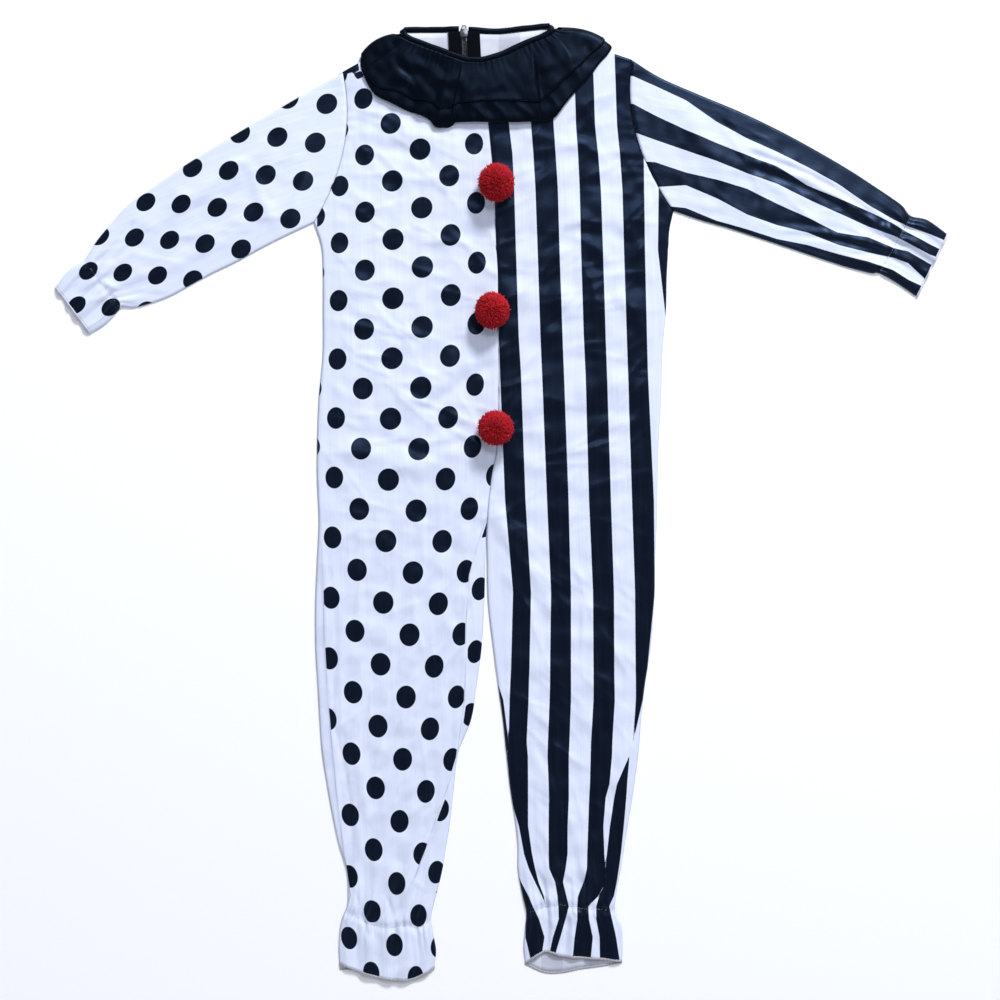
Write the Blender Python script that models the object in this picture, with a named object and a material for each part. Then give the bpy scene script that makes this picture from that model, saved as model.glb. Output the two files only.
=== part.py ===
"""Clown costume: a one-piece suit laid flat on its back, front up.

The script works in millimetres and writes metres. +X is the viewer's right, +Y the neck,
+Z up. The origin is on the surface under the suit, below the middle of its outline.
The left half is cut from dotted satin, the right half from striped satin.
"""

import math
import random
from collections import namedtuple

import bmesh
import bpy
from mathutils import Vector

MM = 0.001

# Cloth
CLOTH = 1.1  # wall of every cloth piece
GAP = 0.3  # air between pieces that touch
FLOOR_GAP = 0.05  # under what is not flat on the floor
LAYER = CLOTH + GAP
SLACK = 0.15  # more air where layers bend over each other
MOST_RISE = 3.0  # of the front above the back, folds and gathers together
PUFF = 1.2  # air that lifts the front off the back between its edges
PUFF_RISE = 42.0  # distance from an edge over which the front rises

# Collar, neck and the room under the back that they need
COLLAR_CENTRE = (-21.6, 547.8)
COLLAR_REACH = (153.6, 76.8)  # half width and half depth of the collar under the back
BACK_RAMP = (1.02, 1.2)  # where the back comes down to the floor, in units of the reach
FRONT_RAMP = (1.1, 1.4)  # where the front does
COLLAR_LIFT = 2 * LAYER + SLACK
COLLAR_AIR = 0.5  # between the puffed front and the collar on it
SHORT_AIR = (0.25, 0.75)  # more air between the two ruffles, at the neck and at the hem
RUFFLE_STEPS = 5  # rows of faces from neck to hem of the long ruffle
BINDING_HALF = (3.0, 2.1)  # half width and half height of the rolled neck binding
BINDING_SIDES = 8
NECK_DROP = 4.6  # from the binding's middle to the panels' neck edges, along Y
NECK_MIDDLE_X = -20.0  # centre front at the neck
NECK_LEVEL = 545.0  # y near the neck edges, to find their middles
RUFFLE_ROOT = 3.4  # from the binding's middle to the ruffles' sewn edges
UNDER_ROOT = 2.3  # further out under the back
FOLD_ROOT = 4.5  # further out still on a shoulder's fold
FOLD_PULL = 4.5  # the binding's turn lies further in
FOLD_AIR = 0.4  # more air between the ruffles there
BINDING_SINK = 0.8  # of the binding below the back's underside
NECK_START_Y = 520.0  # above here the centre front runs straight to the neck

# Centre-back zip
ZIP_TOP = (-45.6, 563.0)
ZIP_TOP_Y = 560.5
ZIP_END_Y = 274.0
ZIP_SEAM_Y = 271.0  # below here the back's two panels meet
CROTCH = (-18.0, -23.0)
TAPE_WIDTH = 16.0
TAPE = 0.8
COIL_HALF = 2.5
COIL = (0.2, 1.9)  # bottom and top of the coil above the back's underside
ZIP_OPEN_HALF = 3.0  # from the zip's middle to the panels' and tapes' edges
ZIP_BUMP = GAP + TAPE + 0.25  # how far the zip lifts the front
ZIP_BUMP_SIDE = (24.0, 52.0)  # where the front comes down beside the zip
ZIP_BUMP_END = 45.0
SLIDER = (9.0, 10.0)  # width and length
SLIDER_PLATE = 0.8
SLIDER_BRIDGE = 2.6
SLIDER_TAPER = 0.25
SLIDER_Y = 561.7
LUG_WIDTH = 2.0
LUG_WALL = 0.6
LUG_DROP = 2.9
PULL_WIRE = 0.45  # radius
PULL_SIZE = (5.0, 10.5)
PULL_CORNER = 1.0
PULL_TILT = math.radians(14.0)  # the pull's end rests just above the floor
PULL_LIFT = 2.6
PULL_LIFT_RADIUS = 36.0

# Armholes
Armhole = namedtuple("Armhole", "top underarm bulge")
LEFT_ARMHOLE = Armhole((-191.4, 515.4), (-226.0, 335.0), 18.6)
RIGHT_ARMHOLE = Armhole((156.6, 529.8), (206.0, 349.0), -19.8)
LEFT_NECK_SIDE = (-119.0, 555.0)
RIGHT_NECK_SIDE = (66.0, 559.5)

PANEL_COLUMNS = 16
YOKE_STEPS = (0.0, 0.06, 0.13, 0.22, 0.32, 0.43, 0.55, 0.67, 0.79, 0.9, 1.0)
WAVE_PAIRS = 5  # gathers across one side of an ankle
ANKLE_DEPTH = 2.4  # height of a gather at an ankle
CUFF_DEPTH = 2.2  # and at a cuff
GATHER_FADE = (95.0, 45.0)  # how far they reach above the elastic, and down the frill
FOLD_ROUND = 1.5  # how far in from a sleeve's folds its layers lie flat

# Trunk and leg, from the underarm to the hem: y, the side edge, and the middle,
# which is the centre-front seam down to the crotch and the inner leg below it.
Section = namedtuple("Section", "y side middle")
LEFT_SECTIONS = (
    Section(335, -226, -8),
    Section(307, -217, -7),
    Section(272, -215, -5),
    Section(230, -215, -5),
    Section(181, -215, -4),
    Section(123, -220, -4),
    Section(67, -222, -6),
    Section(26, -222, -13),
    Section(-23, -220, -18),
    Section(-70, -222, -20),
    Section(-118, -224, -21),
    Section(-172, -224, -24),
    Section(-226, -221, -31),
    Section(-262, -219, -37),
    Section(-301, -216, -52),
    Section(-346, -209, -58),
    Section(-384, -202, -62),
    Section(-415, -195, -67),
    Section(-440, -187, -71),
    Section(-466, -185, -77),
    Section(-485, -186, -82),
    Section(-500, -192, -85),
    Section(-517, -195, -83),
    Section(-535, -196, -79),
    Section(-553, -195, -81),
)
RIGHT_SECTIONS = (
    Section(349, 206, -8),
    Section(325, 201, -8),
    Section(307, 200, -7),
    Section(272, 198, -5),
    Section(230, 197, -5),
    Section(181, 193, -4),
    Section(123, 191, -4),
    Section(67, 188, -6),
    Section(26, 187, -13),
    Section(-23, 186, -18),
    Section(-70, 184, -18),
    Section(-118, 183, -17),
    Section(-172, 179, -11),
    Section(-226, 171, -4),
    Section(-262, 167, 1),
    Section(-301, 164, 5),
    Section(-346, 158, 10),
    Section(-384, 152, 16),
    Section(-415, 147, 19),
    Section(-440, 143, 19),
    Section(-466, 138, 23),
    Section(-484, 136, 27),
    Section(-493, 136, 29),
    Section(-509, 143, 28),
    Section(-530, 145, 26),
    Section(-549, 144, 28),
)
# How far each hem dips below its last section, at these fractions from side to middle.
Hem = namedtuple("Hem", "fraction front back")
LEFT_HEM = (
    Hem(0.0, 1, 8),
    Hem(0.17, 9, 9),
    Hem(0.38, 17, 15),
    Hem(0.6, 21, 19),
    Hem(0.8, 19, 17),
    Hem(1.0, 6, 4),
)
RIGHT_HEM = (
    Hem(0.0, 3, 4),
    Hem(0.2, 0, 8),
    Hem(0.45, -2, 12),
    Hem(0.62, -4, 16),
    Hem(0.8, -9, 16),
    Hem(1.0, 5, 6),
)
CINCH_Y = {"left": -500.0, "right": -491.0}

# Sleeves, from below the armhole to the hem: the top fold and the underarm edge.
Cut = namedtuple("Cut", "top_x top_y under_x under_y")
LEFT_SLEEVE = (
    Cut(-235, 491, -254, 322),
    Cut(-288, 460, -288, 305),
    Cut(-342, 428, -319, 288),
    Cut(-388, 399, -348, 274),
    Cut(-422, 375, -374, 260),
    Cut(-448, 357, -398, 247),
    Cut(-470, 333, -422, 238),
    Cut(-486, 314, -442, 233),
    Cut(-497, 297, -454, 234),
    Cut(-502, 290, -458, 232),
    Cut(-521, 277, -475, 214),
    Cut(-536, 258, -494, 202),
)
RIGHT_SLEEVE = (
    Cut(190, 509, 238, 338),
    Cut(238, 488, 270, 329),
    Cut(286, 468, 304, 318),
    Cut(334, 445, 334, 308),
    Cut(380, 420, 364, 298),
    Cut(419, 397, 391, 289),
    Cut(445, 380, 413, 282),
    Cut(466, 366, 432, 277),
    Cut(481, 355, 445, 274),
    Cut(491, 343, 453, 274),
    Cut(511, 338, 473, 263),
    Cut(535, 321, 498, 246),
)
CUFF_ROW = 10  # the elastic's row in both sleeves
CUFF_SPACING = 18.0  # between rows near the cuff
CUFF_WAVES = 4

# The collar, once round the neck from the zip's left side to its right side. neck is the
# binding's middle and edge the long ruffle's hem. bow curves a row sideways, short is the
# short ruffle's part of the long one, lift raises the hem, and level is -1 under the back,
# 0 on a shoulder fold and 1 on the front.
Gather = namedtuple("Gather", "neck_x neck_y edge_x edge_y bow short lift level")
COLLAR = (
    Gather(-58.0, 567.0, -60, 500, 0, 0.62, 0.0, -1.0),
    Gather(-75.0, 566.4, -86, 501, 0, 0.62, 0.0, -1.0),
    Gather(-95.0, 566.4, -113, 508, 0, 0.62, 0.0, -1.0),
    Gather(-110.0, 566.4, -140, 521, 0, 0.64, 0.0, -1.0),
    Gather(-120.0, 566.0, -163, 529, -3, 0.80, 0.0, -0.85),
    Gather(-124.0, 563.8, -168, 534, -5, 0.92, 0.0, 0.0),
    Gather(-120.0, 560.6, -169, 526, -4, 0.95, 0.0, 0.85),
    Gather(-114.0, 557.0, -166, 513, 0, 0.96, 0.8, 1.0),
    Gather(-107.0, 553.7, -153, 489, 0, 0.88, 0.2, 1.0),
    Gather(-98.0, 550.2, -133, 478, 0, 0.80, 2.2, 1.0),
    Gather(-87.0, 546.0, -112, 468, 0, 0.80, 0.3, 1.0),
    Gather(-76.0, 541.9, -97, 463, 0, 0.76, 2.0, 1.0),
    Gather(-64.0, 537.4, -86, 457, 0, 0.74, 0.8, 1.0),
    Gather(-57.0, 534.9, -79, 449, 0, 0.72, 2.8, 1.0),
    Gather(-50.0, 532.5, -66, 449, 0, 0.70, 2.2, 1.0),
    Gather(-43.0, 530.3, -56, 454, 0, 0.68, 0.3, 1.0),
    Gather(-34.0, 529.8, -38, 455, 0, 0.67, 0.9, 1.0),
    Gather(-24.0, 529.8, -16, 455, 0, 0.65, 0.2, 1.0),
    Gather(-13.0, 532.4, 4, 455, 0, 0.66, 1.6, 1.0),
    Gather(-2.0, 536.0, 24, 455, 0, 0.68, 0.3, 1.0),
    Gather(9.0, 541.0, 41, 456, 0, 0.71, 1.5, 1.0),
    Gather(18.0, 545.3, 53, 456, 0, 0.73, 2.6, 1.0),
    Gather(27.0, 549.5, 64, 462, 0, 0.72, 0.4, 1.0),
    Gather(36.0, 553.0, 77, 479, 0, 0.72, 1.9, 1.0),
    Gather(44.0, 556.1, 90, 494, 0, 0.73, 0.3, 1.0),
    Gather(51.0, 559.4, 104, 509, 0, 0.75, 1.7, 1.0),
    Gather(57.0, 562.5, 117, 526, 2, 0.78, 0.2, 1.0),
    Gather(61.5, 565.2, 127, 537, 7, 0.82, 0.0, 0.9),
    Gather(64.0, 568.2, 131, 545, 7, 0.82, 0.0, 0.0),
    Gather(60.0, 570.6, 124, 547, 4, 0.76, 0.0, -0.85),
    Gather(51.0, 570.6, 100, 518, 0, 0.66, 0.0, -1.0),
    Gather(38.0, 569.2, 72, 507, 0, 0.62, 0.0, -1.0),
    Gather(20.0, 567.3, 42, 502, 0, 0.62, 0.0, -1.0),
    Gather(0.0, 564.8, 12, 500, 0, 0.62, 0.0, -1.0),
    Gather(-18.0, 564.8, -14, 499, 0, 0.62, 0.0, -1.0),
    Gather(-34.0, 566.4, -33, 499, 0, 0.62, 0.0, -1.0),
)
# The binding's front run, for the panels' neck edges: x and y of its middle.
NECK_FRONT = (
    (-124.0, 563.8),
    (-110.4, 555.0),
    (-88.8, 546.6),
    (-56.4, 534.6),
    (-40.8, 529.8),
    (-24.0, 529.8),
    (-2.4, 535.8),
    (24.0, 548.3),
    (48.0, 557.4),
    (64.0, 566.0),
)
NECK_BACK = (
    (-124.0, 566.4),
    (-75.0, 566.4),
    (-45.6, 566.4),
    (-18.0, 564.8),
    (0.0, 564.8),
    (20.0, 567.3),
    (51.0, 570.6),
    (64.0, 568.8),
)

# The largest folds of the front: two ends, half width and height.
Fold = namedtuple("Fold", "x0 y0 x1 y1 width height")
FOLDS = (
    Fold(-151, 441, -67, 425, 13, 1.4),
    Fold(-198, 250, -120, 262, 15, 0.9),
    Fold(-94, 131, -13, 184, 15, 1.5),
    Fold(-197, 58, -106, 42, 14, 1.6),
    Fold(-106, 42, -29, 58, 14, 1.6),
    Fold(-67, 5, -6, 77, 14, 1.7),
    Fold(20, 350, 150, 342, 20, 1.1),
    Fold(14, 240, 170, 226, 20, 1.2),
    Fold(30, 118, 172, 136, 20, 1.3),
    Fold(-2, -28, 59, -117, 15, 1.9),
    Fold(12, -184, 90, -214, 16, 1.2),
    Fold(55, -331, 78, -381, 12, 1.8),
    Fold(-216, -60, -202, -330, 10, 1.0),
    Fold(-59, -327, -109, -460, 12, 2.0),
    Fold(-40, -60, -72, -300, 12, 0.9),
    Fold(165, -262, 150, -307, 11, 1.7),
    Fold(150, -307, 124, -400, 11, 2.0),
    Fold(-419, 383, -483, 284, 12, 1.6),
    Fold(-284, 308, -256, 356, 12, 1.5),
    Fold(-300, 420, -380, 366, 16, 0.9),
    Fold(304, 418, 452, 342, 13, 1.7),
    Fold(342, 319, 448, 299, 11, 1.4),
    Fold(215, 470, 262, 400, 14, 1.2),
)

# Pompoms down the centre front: x, y and radius
Pompom = namedtuple("Pompom", "x y radius")
POMPOMS = (
    Pompom(-6.7, 380.2, 22.4),
    Pompom(-11.4, 228.1, 21.0),
    Pompom(-7.2, 87.7, 20.8),
)
POMPOM_CORE = 0.6  # core radius as a part of the pompom's
POMPOM_HEIGHT = 0.84  # height as a part of its width
LOCK_TIP = 0.85  # width of a lock's end as a part of its root
LOCK_REACH = (0.9, 1.0)  # shortest and longest, as parts of the radius
LOCK_LEAN = 0.06  # most lean of a lock, as a part of the radius

Finish = namedtuple("Finish", "color roughness metallic")
FINISHES = {
    "dotted_satin": Finish((0.80, 0.85, 0.96), 0.45, 0.0),
    "striped_satin": Finish((0.20, 0.22, 0.28), 0.42, 0.0),
    "black_satin": Finish((0.012, 0.015, 0.028), 0.35, 0.0),
    "zip_tape": Finish((0.010, 0.010, 0.012), 0.8, 0.0),
    "zip_nylon": Finish((0.012, 0.012, 0.014), 0.4, 0.0),
    "nickel": Finish((0.62, 0.62, 0.60), 0.3, 1.0),
    "red_yarn": Finish((0.42, 0.004, 0.012), 0.85, 0.0),
}


def clear_scene():
    """Remove what the scene holds."""
    for obj in list(bpy.data.objects):
        bpy.data.objects.remove(obj)


def finish(slot):
    """The material of this slot."""
    material = bpy.data.materials.get(slot) or bpy.data.materials.new(slot)
    material.use_nodes = True
    shader = material.node_tree.nodes["Principled BSDF"]
    color, roughness, metallic = FINISHES[slot]
    shader.inputs["Base Color"].default_value = (*color, 1.0)
    shader.inputs["Roughness"].default_value = roughness
    shader.inputs["Metallic"].default_value = metallic
    return material


def add_object(bm, name, slot, crease=40.0):
    """Turn a bmesh in millimetres into an object in metres, shaded smooth."""
    bmesh.ops.scale(bm, vec=(MM, MM, MM), verts=bm.verts)
    bmesh.ops.recalc_face_normals(bm, faces=bm.faces)
    mesh = bpy.data.meshes.new(name)
    bm.to_mesh(mesh)
    bm.free()
    mesh.shade_smooth()
    mesh.set_sharp_from_angle(angle=math.radians(crease))
    mesh.materials.append(finish(slot))
    obj = bpy.data.objects.new(name, mesh)
    bpy.context.scene.collection.objects.link(obj)
    return obj


def blend(a, b, t):
    return a + (b - a) * t


def ramp(low, high, value):
    """0 below low, 1 above high and smooth between."""
    t = min(max((value - low) / (high - low), 0.0), 1.0)
    return t * t * (3.0 - 2.0 * t)


def along(points, x):
    """y of a polyline, whose points run towards +X, at x."""
    for (x0, y0), (x1, y1) in zip(points, points[1:]):
        if x <= x1:
            return blend(y0, y1, max(x - x0, 0.0) / (x1 - x0))
    return points[-1][1]


def zip_middle(y):
    """x of the centre-back line at y."""
    return blend(CROTCH[0], ZIP_TOP[0], (y - CROTCH[1]) / (ZIP_TOP[1] - CROTCH[1]))


# Heights of the layers


def collar_lift(x, y, reach_ramp):
    """How far the collar under the back lifts a layer that comes down over this ramp."""
    reach = math.hypot(
        (x - COLLAR_CENTRE[0]) / COLLAR_REACH[0], (y - COLLAR_CENTRE[1]) / COLLAR_REACH[1]
    )
    near = math.hypot(x - ZIP_TOP[0], y - ZIP_TOP[1]) / PULL_LIFT_RADIUS
    return COLLAR_LIFT * (1.0 - ramp(*reach_ramp, reach)) + PULL_LIFT * math.exp(-near * near)


def under_back(x, y):
    """Height of the back's underside: flat, but over the collar and the zip's pull."""
    return collar_lift(x, y, BACK_RAMP)


def under_front(x, y):
    """Height of the front's underside where it lies flat on the back."""
    return collar_lift(x, y, FRONT_RAMP) + zip_bump(x, y) + LAYER


def zip_bump(x, y):
    """How far the zip inside lifts the front."""
    side = 1.0 - ramp(*ZIP_BUMP_SIDE, abs(x - zip_middle(y)))
    return ZIP_BUMP * side * ramp(ZIP_END_Y - ZIP_BUMP_END, ZIP_END_Y, y)


def fold_height(x, y):
    """Sum of the folds at a point: each a ridge that dies away at its ends."""
    height = 0.0
    for fold in FOLDS:
        run_x, run_y = fold.x1 - fold.x0, fold.y1 - fold.y0
        length = math.hypot(run_x, run_y)
        part = ((x - fold.x0) * run_x + (y - fold.y0) * run_y) / length
        off = abs((x - fold.x0) * run_y - (y - fold.y0) * run_x) / length
        beyond = max(-part, part - length, 0.0)
        reach = (off * off + beyond * beyond) / fold.width**2
        if reach < 8.0:
            height += fold.height * math.exp(-reach)
    return height


def gathers(fraction, distance, waves, depth):
    """Waves across a gathered edge: full at the elastic and below it, gone above."""
    above, below = GATHER_FADE
    fade = 1.0 - ramp(0.0, above, distance) - 0.25 * ramp(0.0, below, -distance)
    shift = 0.35 * math.sin(4.0 * math.pi * fraction)
    wave = 0.5 - 0.5 * math.cos(2.0 * math.pi * waves * fraction + shift)
    return depth * fade * wave


# Solids from rows of points


def close_wall(bm, lower, upper, wrap=False):
    """Close the space between two grids of rows; a wrapped row joins its own ends."""
    low = [[bm.verts.new(point) for point in row] for row in lower]
    high = [[bm.verts.new(point) for point in row] for row in upper]
    for side, grid in enumerate((low, high)):
        for row, after in zip(grid, grid[1:]):
            if len(row) != len(after):
                bm.faces.new(row + after[::-1])
                continue
            count = len(row) if wrap else len(row) - 1
            for i in range(count):
                j = (i + 1) % len(row)
                bm.faces.new((row[i], row[j], after[j], after[i]))
    for end in (0, -1):
        count = len(low[end]) if wrap else len(low[end]) - 1
        for i in range(count):
            j = (i + 1) % len(low[end])
            bm.faces.new((low[end][i], low[end][j], high[end][j], high[end][i]))
    if not wrap:
        for edge in (0, -1):
            for i in range(len(low) - 1):
                bm.faces.new((low[i][edge], low[i + 1][edge], high[i + 1][edge], high[i][edge]))


def normals_of(grid):
    """A unit normal at each point of a grid, by its neighbours."""
    result = []
    last_row, last_column = len(grid) - 1, len(grid[0]) - 1
    for r, row in enumerate(grid):
        line = []
        for c in range(len(row)):
            across = row[min(c + 1, last_column)] - row[max(c - 1, 0)]
            down = grid[min(r + 1, last_row)][c] - grid[max(r - 1, 0)][c]
            line.append(across.cross(down).normalized())
        result.append(line)
    return result


def offset(grid, normals, distance):
    """The grid moved out along its normals."""
    return [
        [point + normal * distance for point, normal in zip(row, normal_row)]
        for row, normal_row in zip(grid, normals)
    ]


# Panels of trunk and leg


def armhole_point(armhole, t):
    """A point of the armhole seam, from its top at 0 to the underarm at 1."""
    x = blend(armhole.top[0], armhole.underarm[0], t) + armhole.bulge * 4.0 * t * (1.0 - t)
    return Vector((x, blend(armhole.top[1], armhole.underarm[1], t), 0.0))


def yoke_rows(armhole, neck_side, neckline, middle, first, inset):
    """Rows from the shoulder and neckline down to the underarm, as a patch between four edges."""
    side_in = Vector((inset, 0.0, 0.0))
    centre_x = middle(neckline(middle(NECK_LEVEL)) - NECK_DROP)
    top = []
    for i in range(PANEL_COLUMNS + 1):
        u = 2.0 * i / PANEL_COLUMNS
        if u <= 1.0:
            start = armhole_point(armhole, 0.0) + side_in
            top.append(start.lerp(Vector((*neck_side, 0.0)), u))
        else:
            x = blend(neck_side[0], centre_x, u - 1.0)
            top.append(Vector((x, neckline(x) - NECK_DROP, 0.0)))
    side_end = armhole_point(armhole, 1.0) + side_in
    middle_end = Vector((middle(first.y), first.y, 0.0))
    rows = []
    for v in YOKE_STEPS:
        side = armhole_point(armhole, v) + side_in
        y = blend(top[-1].y, first.y, v)
        centre = Vector((middle(y), y, 0.0))
        row = []
        for i in range(PANEL_COLUMNS + 1):
            u = i / PANEL_COLUMNS
            corners = top[0].lerp(top[-1], u).lerp(side_end.lerp(middle_end, u), v)
            row.append(side.lerp(centre, u) + top[i].lerp(side_end.lerp(middle_end, u), v) - corners)
        rows.append(row)
    return rows


def centre_front(y):
    """x of the centre-front seam, from the neck down to the crotch."""
    first = LEFT_SECTIONS[0]
    if y > first.y:
        return blend(first.middle, NECK_MIDDLE_X, ramp(first.y, NECK_START_Y, y))
    return along([(-section.y, section.middle) for section in LEFT_SECTIONS], -y)


def panel_plan(hand, is_front):
    """The rows of one panel in plan, from shoulder to hem, each from side to middle."""
    left = hand == "left"
    sections = LEFT_SECTIONS if left else RIGHT_SECTIONS
    armhole = LEFT_ARMHOLE if left else RIGHT_ARMHOLE
    neck_side = LEFT_NECK_SIDE if left else RIGHT_NECK_SIDE
    hem = LEFT_HEM if left else RIGHT_HEM
    outward = -1.0 if left else 1.0
    seam = outward * GAP / 2

    def middle(y):
        if y < CROTCH[1]:
            inner = [(-section.y, section.middle) for section in sections]
            return along(inner, -y) + seam
        if is_front:
            return centre_front(y) + seam
        opening = ZIP_OPEN_HALF if y > ZIP_SEAM_Y else GAP / 2
        return zip_middle(y) + outward * opening

    curve = NECK_FRONT if is_front else NECK_BACK
    first = sections[0]
    rows = yoke_rows(armhole, neck_side, lambda x: along(curve, x), middle, first, -seam)
    for number, section in enumerate(sections[1:], start=2):
        last = number == len(sections)
        row = []
        for i in range(PANEL_COLUMNS + 1):
            u = i / PANEL_COLUMNS
            x = blend(section.side, middle(section.y), u)
            dip = 0.0
            if last:
                dip = along([(h.fraction, h.front if is_front else h.back) for h in hem], u)
            row.append(Vector((x, section.y - dip, 0.0)))
        rows.append(row)
    return rows


def front_relief(hand, fraction, edge_distance, inner_distance, x, y):
    """How far the front stands above the back that it lies on."""
    leg = 1.0 - ramp(-90.0, 30.0, y)
    rise = ramp(0.0, PUFF_RISE, edge_distance)
    rise *= blend(1.0, ramp(0.0, PUFF_RISE, inner_distance), leg)
    waves = gathers(fraction, y - CINCH_Y[hand], WAVE_PAIRS, ANKLE_DEPTH)
    return PUFF * rise + min(fold_height(x, y) * rise + waves, MOST_RISE - PUFF * rise)


def build_front(hand, name, slot):
    """A front panel: it lies on the back and rises in folds and gathers."""
    lower = []
    for row in panel_plan(hand, True):
        line = []
        for i, point in enumerate(row):
            edge = (point - row[0]).length
            inner = (point - row[-1]).length
            relief = front_relief(hand, i / PANEL_COLUMNS, edge, inner, point.x, point.y)
            line.append(Vector((point.x, point.y, under_front(point.x, point.y) + relief)))
        lower.append(line)
    upper = [[point + Vector((0.0, 0.0, CLOTH)) for point in row] for row in lower]
    bm = bmesh.new()
    close_wall(bm, lower, upper)
    return add_object(bm, name, slot)


def build_back(hand, name, slot):
    """A back panel: flat on the floor below the yoke, so its long rows have two points."""
    plan = panel_plan(hand, False)
    yoke = len(YOKE_STEPS)
    hem_row = plan[-1]
    rows = plan[:yoke] + [[row[0], row[-1]] for row in plan[yoke:-1]] + [hem_row]
    lower = [[Vector((p.x, p.y, under_back(p.x, p.y))) for p in row] for row in rows]
    for row in lower[yoke:]:
        for point in row:
            point.z = 0.0
    upper = [[point + Vector((0.0, 0.0, CLOTH)) for point in row] for row in lower]
    bm = bmesh.new()
    close_wall(bm, lower, upper)
    return add_object(bm, name, slot)


# Sleeves


def sleeve_point(cuts, armhole, row, t):
    """A point of a sleeve in plan: t runs from the underarm edge to the top fold."""
    cut = cuts[row - 1] if row else Cut(*armhole.top, *armhole.underarm)
    x, y = blend(cut.under_x, cut.top_x, t), blend(cut.under_y, cut.top_y, t)
    fade = max(1.0 - row / 3.0, 0.0) ** 1.5
    return Vector((x + armhole.bulge * 4.0 * t * (1.0 - t) * fade, y, 0.0))


def build_sleeve(cuts, armhole, name, slot):
    """A sleeve: a flattened tube, open at armhole and cuff, flat where it rests."""
    outer, inner = [], []
    gap = GAP / 2 if armhole.bulge < 0 else -GAP / 2
    for row in range(len(cuts) + 1):
        seam = Vector((gap if row == 0 else 0.0, 0.0, 0.0))
        under, top = (sleeve_point(cuts, armhole, row, t) + seam for t in (0.0, 1.0))
        width = (top - under).length
        across = (top - under).normalized()
        half_up = Vector((0.0, 0.0, CLOTH + GAP / 2))
        front_out, front_in, back_out, back_in = [], [], [], []
        for step in reversed(YOKE_STEPS):
            t = 1.0 - step
            rise = ramp(0.0, PUFF_RISE, min(t, 1.0 - t) * width) * ramp(0.0, 2.0, row)
            relief = PUFF * rise + gathers(t, CUFF_SPACING * (CUFF_ROW - row), CUFF_WAVES, CUFF_DEPTH)
            for inset, low, high in (
                (FOLD_ROUND, back_out, front_out),
                (FOLD_ROUND + CLOTH, back_in, front_in),
            ):
                held = min(max(t, inset / width), 1.0 - inset / width)
                plan = sleeve_point(cuts, armhole, row, held) + seam
                is_outer = high is front_out
                fold = min(fold_height(plan.x, plan.y) * rise, MOST_RISE - relief)
                height = under_front(plan.x, plan.y) + relief + fold + CLOTH * is_outer
                high.append(plan + Vector((0.0, 0.0, height)))
                low.append(plan + Vector((0.0, 0.0, 0.0 if is_outer else CLOTH)))
        outer.append([under + half_up] + front_out + [top + half_up] + back_out[::-1])
        under_in, top_in = under + across * CLOTH, top - across * CLOTH
        inner.append([under_in + half_up] + front_in + [top_in + half_up] + back_in[::-1])
    bm = bmesh.new()
    close_wall(bm, inner, outer, wrap=True)
    return add_object(bm, name, slot)


# Collar


def collar_rows():
    """The collar's table with a smooth row between each two of its rows."""
    rows = []
    for i in range(len(COLLAR) - 1):
        before, here = COLLAR[max(i - 1, 0)], COLLAR[i]
        after, beyond = COLLAR[i + 1], COLLAR[min(i + 2, len(COLLAR) - 1)]
        halfway = [
            (9.0 * (b + c) - a - d) / 16.0 for a, b, c, d in zip(before, here, after, beyond)
        ]
        rows += [here, Gather(*halfway)]
    return rows + [COLLAR[-1]]


def turning(row):
    """1 on a shoulder's fold and 0 away from it."""
    return max(1.0 - row.level**6, 0.0)


def front_stack(x, y):
    """Height of the long ruffle's middle on the front."""
    return under_front(x, y) + PUFF + CLOTH + COLLAR_AIR + CLOTH / 2


def ruffle_point(row, v):
    """A point of the long ruffle's middle, from the neck at 0 to the hem at 1."""
    run = Vector((row.edge_x - row.neck_x, row.edge_y - row.neck_y, 0.0))
    over = min(max((row.level + 1.0) / 2.0, 0.0), 1.0)
    root = RUFFLE_ROOT + UNDER_ROOT * (1.0 - over) + FOLD_ROOT * turning(row)
    start = Vector((row.neck_x, row.neck_y, 0.0)) + run.normalized() * root
    sideways = Vector((-run.y, run.x, 0.0)).normalized()
    end = Vector((row.edge_x, row.edge_y, 0.0))
    point = start.lerp(end, v) + sideways * row.bow * 4.0 * v * (1.0 - v)
    on_floor = ramp(row.short + 0.05, row.short + 0.35, v)
    hidden = under_back(point.x, point.y) - GAP - CLOTH / 2
    floor = CLOTH / 2 + FLOOR_GAP
    hidden = max(blend(hidden, floor, on_floor * (1.0 - over)), floor)
    shown = front_stack(point.x, point.y) + row.lift * v**0.8
    point.z = blend(hidden, shown, over)
    return point


def build_ruffle_long():
    """The lower ruffle: on the front, round both shoulders and under the back."""
    grid = [
        [ruffle_point(row, v / RUFFLE_STEPS) for v in range(RUFFLE_STEPS + 1)]
        for row in collar_rows()
    ]
    normals = normals_of(grid)
    bm = bmesh.new()
    close_wall(bm, offset(grid, normals, -CLOTH / 2), offset(grid, normals, CLOTH / 2))
    return add_object(bm, "ruffle_long", "black_satin")


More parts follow.
